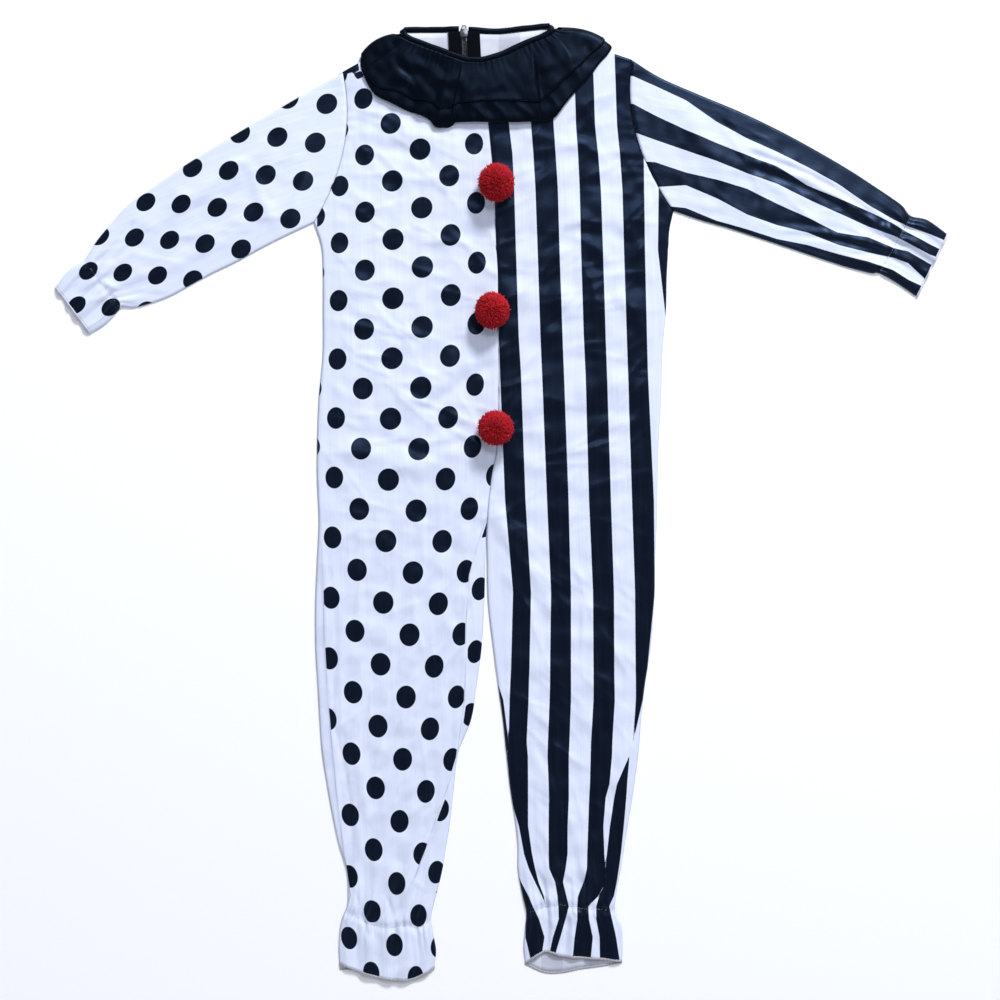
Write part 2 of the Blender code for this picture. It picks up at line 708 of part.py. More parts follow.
def build_ruffle_short():
    """The upper ruffle: it lies on the long one all round."""
    steps = RUFFLE_STEPS - 1
    rows = collar_rows()
    grid = [[ruffle_point(row, row.short * v / steps) for v in range(steps + 1)] for row in rows]
    normals = normals_of(grid)
    up = 1.0 if normals[len(rows) // 2][0].z > 0 else -1.0
    outward = []
    for row, line, normal_line in zip(rows, grid, normals):
        over = min(max((row.level + 1.0) / 2.0, 0.0), 1.0)
        outward.append(
            [
                point + normal * up * (LAYER + over * blend(*SHORT_AIR, v / steps) + FOLD_AIR * turning(row))
                for v, (point, normal) in enumerate(zip(line, normal_line))
            ]
        )
    normals = normals_of(outward)
    bm = bmesh.new()
    close_wall(bm, offset(outward, normals, -CLOTH / 2), offset(outward, normals, CLOTH / 2))
    return add_object(bm, "ruffle_short", "black_satin")


def build_binding():
    """The rolled strip round the neck, open at the zip."""
    centres, sideways = [], []
    for row in collar_rows():
        inward = 1.0 if row.neck_x < COLLAR_CENTRE[0] else -1.0
        x = row.neck_x + inward * FOLD_PULL * turning(row)
        y = row.neck_y
        over = min(max((row.level + 1.0) / 2.0, 0.0), 1.0)
        low = max(under_back(x, y) - BINDING_SINK, BINDING_HALF[1] + FLOOR_GAP)
        high = under_front(x, y) + BINDING_HALF[1] + COLLAR_AIR
        centres.append(Vector((x, y, blend(low, high, over))))
        sideways.append(Vector((row.edge_x - x, row.edge_y - y, 0.0)).normalized())
    rings = []
    for i, centre in enumerate(centres):
        tangent = (centres[min(i + 1, len(centres) - 1)] - centres[max(i - 1, 0)]).normalized()
        wide = (sideways[i] - tangent * sideways[i].dot(tangent)).normalized()
        high = tangent.cross(wide)
        ring = []
        for side in range(BINDING_SIDES):
            angle = 2.0 * math.pi * (side + 0.5) / BINDING_SIDES
            out = wide * math.cos(angle) * BINDING_HALF[0] + high * math.sin(angle) * BINDING_HALF[1]
            ring.append(centre + out)
        sunk = Vector((0.0, 0.0, max(FLOOR_GAP - min(point.z for point in ring), 0.0)))
        rings.append([point + sunk for point in ring])
    bm = bmesh.new()
    close_tube(bm, rings)
    return add_object(bm, "neck_binding", "black_satin", crease=60.0)


def close_tube(bm, rings, cyclic=False):
    """Faces round rings of points, with a cap at each end or the ends joined."""
    grid = [[bm.verts.new(point) for point in ring] for ring in rings]
    pairs = list(zip(grid, grid[1:])) + ([(grid[-1], grid[0])] if cyclic else [])
    for ring, after in pairs:
        for i in range(len(ring)):
            j = (i + 1) % len(ring)
            bm.faces.new((ring[i], ring[j], after[j], after[i]))
    if not cyclic:
        bm.faces.new(grid[0])
        bm.faces.new(grid[-1][::-1])


# Zip


def zip_rows(first):
    """y of the rows along the zip: those of the back panel that it is sewn to."""
    top = along(NECK_BACK, ZIP_TOP[0]) - NECK_DROP
    yoke = [blend(top, first.y, v) for v in YOKE_STEPS]
    return [min(yoke[0], ZIP_TOP_Y)] + yoke[1:] + [ZIP_END_Y]


def build_tape(name, side, sections):
    """A tape inside the back, along the coil."""
    lower = []
    for y in zip_rows(sections[0]):
        line = []
        for part in (0.0, 0.5, 1.0):
            out = blend(ZIP_OPEN_HALF, ZIP_OPEN_HALF + TAPE_WIDTH, part)
            x = zip_middle(y) + side * out
            line.append(Vector((x, y, under_back(x, y) + CLOTH + GAP + SLACK)))
        lower.append(line)
    upper = [[point + Vector((0.0, 0.0, TAPE)) for point in row] for row in lower]
    bm = bmesh.new()
    close_wall(bm, lower, upper)
    return add_object(bm, name, "zip_tape")


def build_coil():
    """The closed coil between the tapes, as one bar."""
    rings = []
    coil_top = SLIDER_Y + SLIDER[1] / 2 - SLIDER_BRIDGE - GAP
    for y in [coil_top] + zip_rows(LEFT_SECTIONS[0])[1:]:
        x = zip_middle(y)
        low, high = (under_back(x, y) + level for level in COIL)
        edge = COIL_HALF * 0.75
        ring = [
            (x - edge, low),
            (x + edge, low),
            (x + COIL_HALF, (low + high) / 2),
            (x + edge, high),
            (x - edge, high),
            (x - COIL_HALF, (low + high) / 2),
        ]
        rings.append([Vector((px, y, pz)) for px, pz in ring])
    bm = bmesh.new()
    close_tube(bm, rings)
    return add_object(bm, "zip_coil", "zip_nylon")


def extruded_profile(profile, centre_x, width):
    """A closed profile of y and z, as wide as this along X."""
    bm = bmesh.new()
    face = bm.faces.new([bm.verts.new((centre_x - width / 2, y, z)) for y, z in profile])
    pushed = bmesh.ops.extrude_face_region(bm, geom=[face])
    verts = [item for item in pushed["geom"] if isinstance(item, bmesh.types.BMVert)]
    bmesh.ops.translate(bm, vec=(width, 0.0, 0.0), verts=verts)
    return bm


def slider_levels():
    """Heights of the slider: undersides and tops of its outer and inner plates."""
    base = under_back(ZIP_TOP[0], SLIDER_Y)
    outer_top = base - GAP
    inner_low = base + CLOTH + GAP + SLACK + TAPE + GAP
    return outer_top - SLIDER_PLATE, outer_top, inner_low, inner_low + SLIDER_PLATE


def hinge_height():
    """Height of the pull's axis under the slider."""
    return slider_levels()[0] - (LUG_DROP - LUG_WALL) / 2


def build_slider():
    """The slider: two plates joined at the top end, and the lug that holds the pull."""
    low, outer_top, inner_low, high = slider_levels()
    bottom_y, top_y = SLIDER_Y - SLIDER[1] / 2, SLIDER_Y + SLIDER[1] / 2
    bridge = top_y - SLIDER_BRIDGE
    taper = SLIDER_TAPER
    profile = [
        (bottom_y, low + taper),
        (bottom_y + taper, low),
        (top_y - taper, low),
        (top_y, low + taper),
        (top_y, high - taper),
        (top_y - taper, high),
        (bottom_y + taper, high),
        (bottom_y, high - taper),
        (bottom_y, inner_low),
        (bridge, inner_low),
        (bridge, outer_top),
        (bottom_y, outer_top),
    ]
    body = extruded_profile(profile, ZIP_TOP[0], SLIDER[0])
    slider = add_object(body, "zip_slider", "nickel", crease=30.0)
    post = LUG_DROP / 2 + LUG_WALL
    foot = low - LUG_DROP
    sunk = low + SLIDER_PLATE / 2
    lug_profile = [
        (SLIDER_Y - post, sunk),
        (SLIDER_Y - post, foot),
        (SLIDER_Y + post, foot),
        (SLIDER_Y + post, sunk),
        (SLIDER_Y + post - LUG_WALL, sunk),
        (SLIDER_Y + post - LUG_WALL, foot + LUG_WALL),
        (SLIDER_Y - post + LUG_WALL, foot + LUG_WALL),
        (SLIDER_Y - post + LUG_WALL, sunk),
    ]
    lug = add_object(extruded_profile(lug_profile, ZIP_TOP[0], LUG_WIDTH), "lug_tool", "nickel")
    lug.hide_render = True
    lug.display_type = "WIRE"
    union = slider.modifiers.new("lug", "BOOLEAN")
    union.operation = "UNION"
    union.object = lug
    return slider


def build_pull():
    """The wire pull: a frame that hangs from the lug and turns on its cross wire."""
    half, length = PULL_SIZE[0] / 2, PULL_SIZE[1]
    corner = PULL_CORNER
    centres = [
        (-half + corner, 0.0),
        (half - corner, 0.0),
        (half, corner),
        (half, length - corner),
        (half - corner, length),
        (-half + corner, length),
        (-half, length - corner),
        (-half, corner),
    ]
    rings = []
    for i, (x, y) in enumerate(centres):
        before, after = centres[i - 1], centres[(i + 1) % len(centres)]
        tangent = Vector((after[0] - before[0], after[1] - before[1], 0.0)).normalized()
        wide = Vector((-tangent.y, tangent.x, 0.0))
        ring = []
        for side in range(8):
            angle = 2.0 * math.pi * side / 8
            out = wide * math.cos(angle) + Vector((0.0, 0.0, math.sin(angle)))
            ring.append(Vector((x, y, 0.0)) + out * PULL_WIRE)
        rings.append(ring)
    turned = []
    for ring in rings:
        line = []
        for point in ring:
            y = point.y * math.cos(PULL_TILT) + point.z * math.sin(PULL_TILT)
            z = point.z * math.cos(PULL_TILT) - point.y * math.sin(PULL_TILT)
            line.append(Vector((ZIP_TOP[0] + point.x, SLIDER_Y + y, hinge_height() + z)))
        turned.append(line)
    bm = bmesh.new()
    close_tube(bm, turned, cyclic=True)
    pull = add_object(bm, "zip_pull", "nickel", crease=60.0)
    move_origin(pull, Vector((ZIP_TOP[0], SLIDER_Y, hinge_height())) * MM)
    return pull


def move_origin(obj, place):
    """Put the object's origin on a joint's axis, with its mesh left where it is."""
    for vertex in obj.data.vertices:
        vertex.co -= place
    obj.location = place


# Pompoms


def front_top(x, y):
    """Height of the front's upper side down the middle of the trunk."""
    hand = "left" if x < centre_front(y) else "right"
    relief = front_relief(hand, 1.0, PUFF_RISE, PUFF_RISE, x, y)
    return under_front(x, y) + relief + CLOTH


def build_pompom(number, pompom):
    """A yarn ball: three-sided locks that stand out from a small core."""
    draw = random.Random(40 + number)
    bm = bmesh.new()
    bmesh.ops.create_icosphere(bm, subdivisions=2, radius=pompom.radius * POMPOM_CORE)
    locks = bmesh.ops.extrude_discrete_faces(bm, faces=list(bm.faces))["faces"]
    for face in locks:
        centre = face.calc_center_median()
        outward = centre.normalized()
        length = pompom.radius * draw.uniform(*LOCK_REACH) - centre.length
        lean = Vector([draw.uniform(-LOCK_LEAN, LOCK_LEAN) * pompom.radius for _ in range(3)])
        for vertex in face.verts:
            shrunk = centre + (vertex.co - centre) * LOCK_TIP
            vertex.co = shrunk + outward * length + lean
    for vertex in bm.verts:
        vertex.co.z *= POMPOM_HEIGHT
    lift = max(
        front_top(pompom.x + vertex.co.x, pompom.y + vertex.co.y) - vertex.co.z
        for vertex in bm.verts
        if vertex.co.z < 0.0
    )
    place = Vector((pompom.x, pompom.y, lift + GAP))
    bmesh.ops.translate(bm, vec=place, verts=bm.verts)
    return add_object(bm, f"pompom_{number}", "red_yarn", crease=25.0)


def main():
    clear_scene()
    build_back("left", "back_dots", "dotted_satin")
    build_back("right", "back_stripes", "striped_satin")
    build_front("left", "front_dots", "dotted_satin")
    build_front("right", "front_stripes", "striped_satin")
    build_sleeve(LEFT_SLEEVE, LEFT_ARMHOLE, "sleeve_dots", "dotted_satin")
    build_sleeve(RIGHT_SLEEVE, RIGHT_ARMHOLE, "sleeve_stripes", "striped_satin")
    build_ruffle_long()
    build_ruffle_short()
    build_binding()
    build_tape("zip_tape_left", -1.0, LEFT_SECTIONS)
    build_tape("zip_tape_right", 1.0, RIGHT_SECTIONS)
    build_coil()
    build_slider()
    build_pull()
    for number, pompom in enumerate(POMPOMS, start=1):
        build_pompom(number, pompom)


main()
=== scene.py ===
"""Looks of the clown costume that lies flat, front up: cloth, print, stitching, zip and yarn.

Lengths are in millimetres until a mesh is made. +X is the viewer's right, +Y the neck and +Z up.
"""

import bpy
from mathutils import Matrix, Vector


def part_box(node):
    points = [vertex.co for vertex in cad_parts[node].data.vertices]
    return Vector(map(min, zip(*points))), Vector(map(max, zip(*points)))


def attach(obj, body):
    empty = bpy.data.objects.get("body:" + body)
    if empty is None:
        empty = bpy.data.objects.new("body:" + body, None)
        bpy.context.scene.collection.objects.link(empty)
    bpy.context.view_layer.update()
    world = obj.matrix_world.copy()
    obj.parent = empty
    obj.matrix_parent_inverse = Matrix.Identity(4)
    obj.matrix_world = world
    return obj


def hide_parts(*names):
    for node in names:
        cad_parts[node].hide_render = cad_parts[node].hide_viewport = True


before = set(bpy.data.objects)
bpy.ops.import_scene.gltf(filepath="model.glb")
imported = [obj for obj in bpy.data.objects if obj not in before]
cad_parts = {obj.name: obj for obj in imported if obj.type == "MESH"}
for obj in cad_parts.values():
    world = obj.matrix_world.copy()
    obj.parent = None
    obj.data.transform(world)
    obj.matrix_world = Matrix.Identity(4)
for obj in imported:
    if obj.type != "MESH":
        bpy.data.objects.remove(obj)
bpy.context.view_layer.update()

import logging
import math
from dataclasses import dataclass
from enum import Enum
from functools import cache
from typing import Any, Callable, NamedTuple, Optional, Sequence

import bpy
import numpy as np
from mathutils import Vector

MM = 0.001
BODY = "garment"
log = logging.getLogger("costume")
Array = np.ndarray
Object = bpy.types.Object
Material = bpy.types.Material
Socket = bpy.types.NodeSocket
Pair = tuple[float, float]


# Sizes that the cloth shares with its solids


class Hand(Enum):
    """The half of the suit, as the viewer sees it."""

    LEFT = "left"
    RIGHT = "right"


class Face(Enum):
    """The layer of the suit that a panel belongs to."""

    FRONT = "front"
    BACK = "back"


WALL = 1.1  # thickness of a layer of cloth in the solids
GAP = 0.3  # between two layers
LAYER = WALL + GAP
SLACK = 0.15  # more air where layers lie loose
SHELL = 0.55  # thickness of the satin's shell
SEAM = 0.08  # how far a panel stays off its seam's line
PUFF = 1.2  # how far a panel stands above its edges
PUFF_RISE = 42.0  # the width over which it rises to that
MOST_RISE = 3.0  # of the shared folds together
SHARED_FOLDS = 1.4  # how much more they stand up in the satin
COLLAR_CENTRE = (-21.6, 547.8)
COLLAR_REACH = (153.6, 76.8)  # half its width and half its height
BACK_RAMP = (1.02, 1.2)  # where the back comes down off it, in that reach
FRONT_RAMP = (1.1, 1.4)
COLLAR_LIFT = 2 * LAYER + SLACK  # the collar's two layers under the back
COLLAR_AIR = 0.5
COLLAR_CLEAR = (158.0, 556.0, 108.0)  # half width, middle y and half height of its cover
ZIP_TOP = (-45.6, 563.0)
ZIP_TOP_Y = 560.5
ZIP_END_Y = 274.0
ZIP_SIDE = (24.0, 52.0)  # from the zip's middle, where the front comes down off it
ZIP_FADE = 45.0  # and below its end
TAPE_AIR = 0.8  # from the back's upper side to the middle of the tape's layer
TAPE_LIP = 0.25  # how far a tape stands up beside the coil
CROTCH = (-18.0, -23.0)
NECK_DROP = 4.6  # from the neck's line down to a panel's edge
NECK_LEVEL = 545.0
NECK_MIDDLE_X = -20.0
NECK_START_Y = 520.0
PULL_LIFT = 2.6  # how far the slider lifts the back
PULL_LIFT_RADIUS = 36.0
FOLD_BOW = 0.05  # how far a fold bows, for its length
FOLD_END = 0.6  # how fast it dies away past its ends, for its width


class Section(NamedTuple):
    """A level of trunk and leg: y, the side edge, and the centre seam or inner leg."""

    y: float
    side: float
    middle: float


class Hem(NamedTuple):
    """How far a hem dips at a fraction of the way from side to middle."""

    fraction: float
    front: float
    back: float


class Armhole(NamedTuple):
    """Top and underarm of an armhole seam, and how far it bows."""

    top: Pair
    underarm: Pair
    bulge: float


class Cut(NamedTuple):
    """A level of a sleeve: its top fold and its underarm edge."""

    top_x: float
    top_y: float
    under_x: float
    under_y: float


class Fold(NamedTuple):
    """A ridge in the cloth: two ends, half width and height. A trough has a negative height."""

    x0: float
    y0: float
    x1: float
    y1: float
    width: float
    height: float


class Gather(NamedTuple):
    """A row of the collar from neck to hem, as in the solids."""

    neck_x: float
    neck_y: float
    edge_x: float
    edge_y: float
    bow: float
    short: float
    lift: float
    level: float


def rows_of(kind: type, *values: tuple) -> tuple:
    """A table whose rows are all of one kind."""
    return tuple(kind(*row) for row in values)


LEFT_SECTIONS = rows_of(
    Section,
    (335, -226, -8), (307, -217, -7), (272, -215, -5), (230, -215, -5), (181, -215, -4),
    (123, -220, -4), (67, -222, -6), (26, -222, -13), (-23, -220, -18), (-70, -222, -20),
    (-118, -224, -21), (-172, -224, -24), (-226, -221, -31), (-262, -219, -37), (-301, -216, -52),
    (-346, -209, -58), (-384, -202, -62), (-415, -195, -67), (-440, -187, -71), (-466, -185, -77),
    (-485, -186, -82), (-500, -192, -85), (-517, -195, -83), (-535, -196, -79), (-553, -195, -81),
)
RIGHT_SECTIONS = rows_of(
    Section,
    (349, 206, -8), (325, 201, -8), (307, 200, -7), (272, 198, -5), (230, 197, -5), (181, 193, -4),
    (123, 191, -4), (67, 188, -6), (26, 187, -13), (-23, 186, -18), (-70, 184, -18),
    (-118, 183, -17), (-172, 179, -11), (-226, 171, -4), (-262, 167, 1), (-301, 164, 5),
    (-346, 158, 10), (-384, 152, 16), (-415, 147, 19), (-440, 143, 19), (-466, 138, 23),
    (-484, 136, 27), (-493, 136, 29), (-509, 143, 28), (-530, 145, 26), (-549, 144, 28),
)
LEFT_HEM = (
    Hem(0.0, 1, 8),
    Hem(0.17, 9, 9),
    Hem(0.38, 17, 15),
    Hem(0.6, 21, 19),
    Hem(0.8, 19, 17),
    Hem(1.0, 6, 4),
)
RIGHT_HEM = (
    Hem(0.0, 3, 4),
    Hem(0.2, 0, 8),
    Hem(0.45, -2, 12),
    Hem(0.62, -4, 16),
    Hem(0.8, -9, 16),
    Hem(1.0, 5, 6),
)
LEFT_ARMHOLE = Armhole((-191.4, 515.4), (-226.0, 335.0), 18.6)
RIGHT_ARMHOLE = Armhole((156.6, 529.8), (206.0, 349.0), -19.8)
LEFT_NECK_SIDE = (-119.0, 555.0)
RIGHT_NECK_SIDE = (66.0, 559.5)
LEFT_SLEEVE = rows_of(
    Cut,
    (-235, 491, -254, 322), (-288, 460, -288, 305), (-342, 428, -319, 288), (-388, 399, -348, 274),
    (-422, 375, -374, 260), (-448, 357, -398, 247), (-470, 333, -422, 238), (-486, 314, -442, 233),
    (-497, 297, -454, 234), (-502, 290, -458, 232), (-521, 277, -475, 214), (-536, 258, -494, 202),
)
RIGHT_SLEEVE = rows_of(
    Cut,
    (190, 509, 238, 338), (238, 488, 270, 329), (286, 468, 304, 318), (334, 445, 334, 308),
    (380, 420, 364, 298), (419, 397, 391, 289), (445, 380, 413, 282), (466, 366, 432, 277),
    (481, 355, 445, 274), (491, 343, 453, 274), (511, 338, 473, 263), (535, 321, 498, 246),
)
COLLAR = rows_of(
    Gather,
    (-58, 567, -60, 500, 0, 0.62, 0, -1), (-75, 566.4, -86, 501, 0, 0.62, 0, -1),
    (-95, 566.4, -113, 508, 0, 0.62, 0, -1), (-110, 566.4, -140, 521, 0, 0.64, 0, -1),
    (-120, 566, -163, 529, -3, 0.80, 0, -0.85), (-124, 563.8, -168, 534, -5, 0.92, 0, 0),
    (-120, 560.6, -169, 526, -4, 0.95, 0, 0.85), (-114, 557, -166, 513, 0, 0.96, 0.8, 1),
    (-107, 553.7, -153, 489, 0, 0.88, 0.2, 1), (-98, 550.2, -133, 478, 0, 0.80, 2.2, 1),
    (-87, 546, -112, 468, 0, 0.80, 0.3, 1), (-76, 541.9, -97, 463, 0, 0.76, 2, 1),
    (-64, 537.4, -86, 457, 0, 0.74, 0.8, 1), (-57, 534.9, -79, 449, 0, 0.72, 2.8, 1),
    (-50, 532.5, -66, 449, 0, 0.70, 2.2, 1), (-43, 530.3, -56, 454, 0, 0.68, 0.3, 1),
    (-34, 529.8, -38, 455, 0, 0.67, 0.9, 1), (-24, 529.8, -16, 455, 0, 0.65, 0.2, 1),
    (-13, 532.4, 4, 455, 0, 0.66, 1.6, 1), (-2, 536, 24, 455, 0, 0.68, 0.3, 1),
    (9, 541, 41, 456, 0, 0.71, 1.5, 1), (18, 545.3, 53, 456, 0, 0.73, 2.6, 1),
    (27, 549.5, 64, 462, 0, 0.72, 0.4, 1), (36, 553, 77, 479, 0, 0.72, 1.9, 1),
    (44, 556.1, 90, 494, 0, 0.73, 0.3, 1), (51, 559.4, 104, 509, 0, 0.75, 1.7, 1),
    (57, 562.5, 117, 526, 2, 0.78, 0.2, 1), (61.5, 565.2, 127, 537, 7, 0.82, 0, 0.9),
    (64, 568.2, 131, 545, 7, 0.82, 0, 0), (60, 570.6, 124, 547, 4, 0.76, 0, -0.85),
    (51, 570.6, 100, 518, 0, 0.66, 0, -1), (38, 569.2, 72, 507, 0, 0.62, 0, -1),
    (20, 567.3, 42, 502, 0, 0.62, 0, -1), (0, 564.8, 12, 500, 0, 0.62, 0, -1),
    (-18, 564.8, -14, 499, 0, 0.62, 0, -1), (-34, 566.4, -33, 499, 0, 0.62, 0, -1),
)
NECK_FRONT = (
    (-124, 563.8), (-110.4, 555), (-88.8, 546.6), (-56.4, 534.6), (-40.8, 529.8), (-24, 529.8),
    (-2.4, 535.8), (24, 548.3), (48, 557.4), (64, 566),
)
NECK_BACK = (
    (-124, 566.4), (-75, 566.4), (-45.6, 566.4), (-18, 564.8), (0, 564.8), (20, 567.3),
    (51, 570.6), (64, 568.8),
)
# The folds that the solids have too
FOLDS = rows_of(
    Fold,
    (-151, 441, -67, 425, 13, 1.4), (-198, 250, -120, 262, 15, 0.9), (-94, 131, -13, 184, 15, 1.5),
    (-197, 58, -106, 42, 14, 1.6), (-106, 42, -29, 58, 14, 1.6), (-67, 5, -6, 77, 14, 1.7),
    (20, 350, 150, 342, 20, 1.1), (14, 240, 170, 226, 20, 1.2), (30, 118, 172, 136, 20, 1.3),
    (-2, -28, 59, -117, 15, 1.9), (12, -184, 90, -214, 16, 1.2), (55, -331, 78, -381, 12, 1.8),
    (-216, -60, -202, -330, 10, 1), (-59, -327, -109, -460, 12, 2), (-40, -60, -72, -300, 12, 0.9),
    (165, -262, 150, -307, 11, 1.7), (150, -307, 124, -400, 11, 2),
    (-419, 383, -483, 284, 12, 1.6), (-284, 308, -256, 356, 12, 1.5),
    (-300, 420, -380, 366, 16, 0.9), (304, 418, 452, 342, 13, 1.7), (342, 319, 448, 299, 11, 1.4),
    (215, 470, 262, 400, 14, 1.2),
)
# Smaller creases that only the cloth has
CREASES = rows_of(
    Fold,
    (-176, 472, -120, 452, 6, 0.7), (-160, 424, -90, 410, 8, -0.8), (-120, 404, -40, 396, 9, 0.6),
    (-186, 440, -150, 398, 6, 0.6), (-190, 372, -150, 350, 7, 0.6), (-212, 214, -160, 206, 7, 0.7),
    (-219, 150, -196, 134, 6, 0.9), (-100, 190, -30, 214, 8, 0.5), (-86, 112, -20, 158, 7, -0.8),
    (-180, 84, -110, 64, 7, -0.7), (-96, 66, -40, 84, 6, 0.7), (-50, -10, -20, 40, 6, 0.8),
    (-90, -30, -30, -10, 9, 0.5), (-150, -40, -100, -90, 9, 0.6), (-190, -150, -130, -170, 9, 0.5),
    (-60, -150, -40, -230, 6, 0.7), (-200, -250, -160, -380, 7, 0.8),
    (-120, -280, -150, -430, 8, 0.7), (-80, -340, -96, -440, 5, -0.9),
    (-176, -380, -170, -470, 5, 0.9), (24, 380, 120, 396, 9, 0.5), (60, 452, 140, 486, 8, 0.6),
    (150, 410, 176, 360, 6, 0.6), (40, 322, 160, 312, 8, -0.7), (20, 284, 120, 296, 8, 0.5),
    (60, 200, 180, 190, 9, 0.6), (20, 160, 110, 172, 8, -0.6), (36, 96, 150, 104, 8, -0.7),
    (10, 52, 80, 20, 9, 0.6), (90, 60, 176, 40, 9, 0.6), (14, -44, 70, -132, 6, -0.9),
    (6, -90, 40, -150, 6, 0.8), (100, -60, 168, -100, 9, 0.5), (70, -160, 150, -180, 9, 0.6),
    (10, -232, 50, -262, 7, 0.9), (44, -300, 70, -356, 5, -1), (96, -250, 132, -330, 8, 0.7),
    (84, -390, 96, -440, 6, 1.1), (48, -396, 66, -448, 6, 1.2), (120, -384, 112, -452, 6, 0.9),
    (300, 400, 440, 330, 5, -1.2), (230, 420, 350, 366, 9, 0.7), (330, 334, 440, 314, 5, -1),
    (196, 362, 250, 352, 6, 1), (246, 336, 300, 330, 6, 0.9), (390, 372, 466, 330, 5, 0.9),
    (180, 500, 300, 450, 10, 0.6), (-250, 340, -236, 392, 6, 1),
    # the striped sleeve's two long troughs
    (304, 416, 456, 336, 4, -1.9), (342, 318, 464, 296, 4, -1.7),
    # creases that run out from the elastic of the dotted ankle
    (-95, -441, -123, -495, 3, -1.5), (-84, -446, -112, -499, 4, 0.9),
    (-79, -479, -97, -509, 3, -1.2), (-184, -458, -169, -497, 3, -1.4),
    (-168, -499, -162, -516, 3, -1.3), (-156, -503, -154, -519, 3, -1.1),
    (-136, -480, -131, -514, 3, -1.3), (-118, -506, -116, -524, 3, -1.1),
    (-108, -511, -99, -521, 3, -1.1),
    # those of the striped ankle
    (44, -448, 54, -484, 3, -1.3), (62, -452, 68, -485, 3, -1.3), (80, -458, 82, -487, 3, -1.5),
    (96, -458, 91, -487, 3, -1.4), (118, -466, 104, -488, 3, -1.5),
    (132, -474, 128, -490, 3, -1.3), (52, -488, 54, -532, 4, -1.4), (68, -491, 62, -528, 4, -1.1),
    (80, -491, 74, -530, 4, -1.3), (90, -490, 92, -524, 4, 0.9), (107, -490, 110, -526, 4, -1.3),
    (128, -492, 138, -524, 4, -1.3),
    # those of the dotted cuff
    (-446, 332, -484, 288, 3, -1.7), (-484, 288, -524, 248, 4, -1.5),
    (-462, 244, -414, 248, 4, -1.6), (-466, 242, -438, 232, 3, -1.3),
    (-474, 238, -486, 218, 3, -1.3), (-484, 266, -508, 250, 4, -1), (-482, 264, -466, 257, 3, 1.1),
    # those of the striped cuff
    (462, 318, 480, 306, 3, -1.4), (434, 326, 468, 308, 3, -1.3), (450, 294, 464, 286, 3, -1.4),
    (424, 296, 454, 294, 3, -1.1), (478, 304, 514, 282, 4, -1.4), (456, 280, 478, 264, 4, -1.2),
    (476, 328, 500, 322, 3, -1.2), (-270, 330, -300, 396, 7, 0.7), (-230, 470, -250, 420, 8, 0.6),
    (-330, 398, -420, 330, 8, 0.7), (-400, 366, -462, 292, 5, -1), (-360, 300, -430, 270, 7, 0.8),
    (-310, 330, -370, 300, 8, 0.6), (34.8, 438.6, 84, 426.6, 7, 0.9),
    (90, 432.6, 116.4, 415.8, 6, 0.9), (87.6, 484.2, 112.8, 451.8, 7, 0.8),
    (144, 419.4, 168, 413.4, 5, 0.8), (139.2, 471, 164.4, 455.4, 6, 0.8),
    (44.4, 309, 97.2, 339, 8, 1), (97.2, 339, 120, 322, 8, 1), (48, 276.6, 67.2, 295.8, 7, 0.8),
    (93.6, 316.2, 120, 295.8, 7, 0.9), (145.2, 328.2, 168, 303, 7, 0.9),
    (44.4, 215.4, 70.8, 247.8, 8, 0.9), (97.2, 283.8, 120, 219, 7, 0.8),
    (141.6, 244.2, 168, 208.2, 8, 0.9), (-24, -30, -45, -100, 3, -1.1),
    (-44, -90, -46, -250, 3, -1.1), (-46, -240, -82, -385, 3, -1.2),
    (-80, -375, -122, -488, 3, -1.4), (-94, -360, -134, -480, 7, 1),
    (-216, -40, -206, -260, 3, -0.9), (-206, -255, -182, -470, 3, -1),
)


def ramp(low: float, high: float, value: Any) -> Any:
    """0 at low and below, 1 at high and above, and smooth between."""
    t = np.clip((value - low) / (high - low), 0.0, 1.0)
    return t * t * (3.0 - 2.0 * t)


def smooth(xs: Sequence[float], ys: Sequence[float], x: Any) -> Array:
    """A curve through points that bends evenly at each.

    Args:
        xs: rising positions of the points.
        ys: their values.
        x: where to read the curve.

    Returns:
        The curve's values at x.
    """
    xs, ys, x = (np.asarray(v, float) for v in (xs, ys, x))
    slopes = np.diff(ys) / np.diff(xs)
    tangents = np.concatenate([slopes[:1], (slopes[1:] + slopes[:-1]) / 2, slopes[-1:]])
    i = np.clip(np.searchsorted(xs, x) - 1, 0, len(xs) - 2)
    h = xs[i + 1] - xs[i]
    t = np.clip((x - xs[i]) / h, 0.0, 1.0)
    t2, t3 = t * t, t * t * t
    return (
        (2 * t3 - 3 * t2 + 1) * ys[i]
        + (t3 - 2 * t2 + t) * h * tangents[i]
        + (3 * t2 - 2 * t3) * ys[i + 1]
        + (t3 - t2) * h * tangents[i + 1]
    )


def zip_middle(y: Any) -> Any:
    """x of the centre-back line at y."""
    return CROTCH[0] + (ZIP_TOP[0] - CROTCH[0]) * (y - CROTCH[1]) / (ZIP_TOP[1] - CROTCH[1])


def collar_lift(x: Any, y: Any, reach_ramp: Pair) -> Any:
    """How far the collar under the back lifts a layer.

    Args:
        x, y: places.
        reach_ramp: where the layer comes down, in units of the collar's reach.

    Returns:
        The lift in millimetres.
    """
    reach = np.hypot(
        (x - COLLAR_CENTRE[0]) / COLLAR_REACH[0], (y - COLLAR_CENTRE[1]) / COLLAR_REACH[1]
    )
    near = np.hypot(x - ZIP_TOP[0], y - ZIP_TOP[1]) / PULL_LIFT_RADIUS
    return COLLAR_LIFT * (1.0 - ramp(*reach_ramp, reach)) + PULL_LIFT * np.exp(-near * near)


def under_back(x: Any, y: Any) -> Any:
    """Height of the back's underside."""
    return collar_lift(x, y, BACK_RAMP)


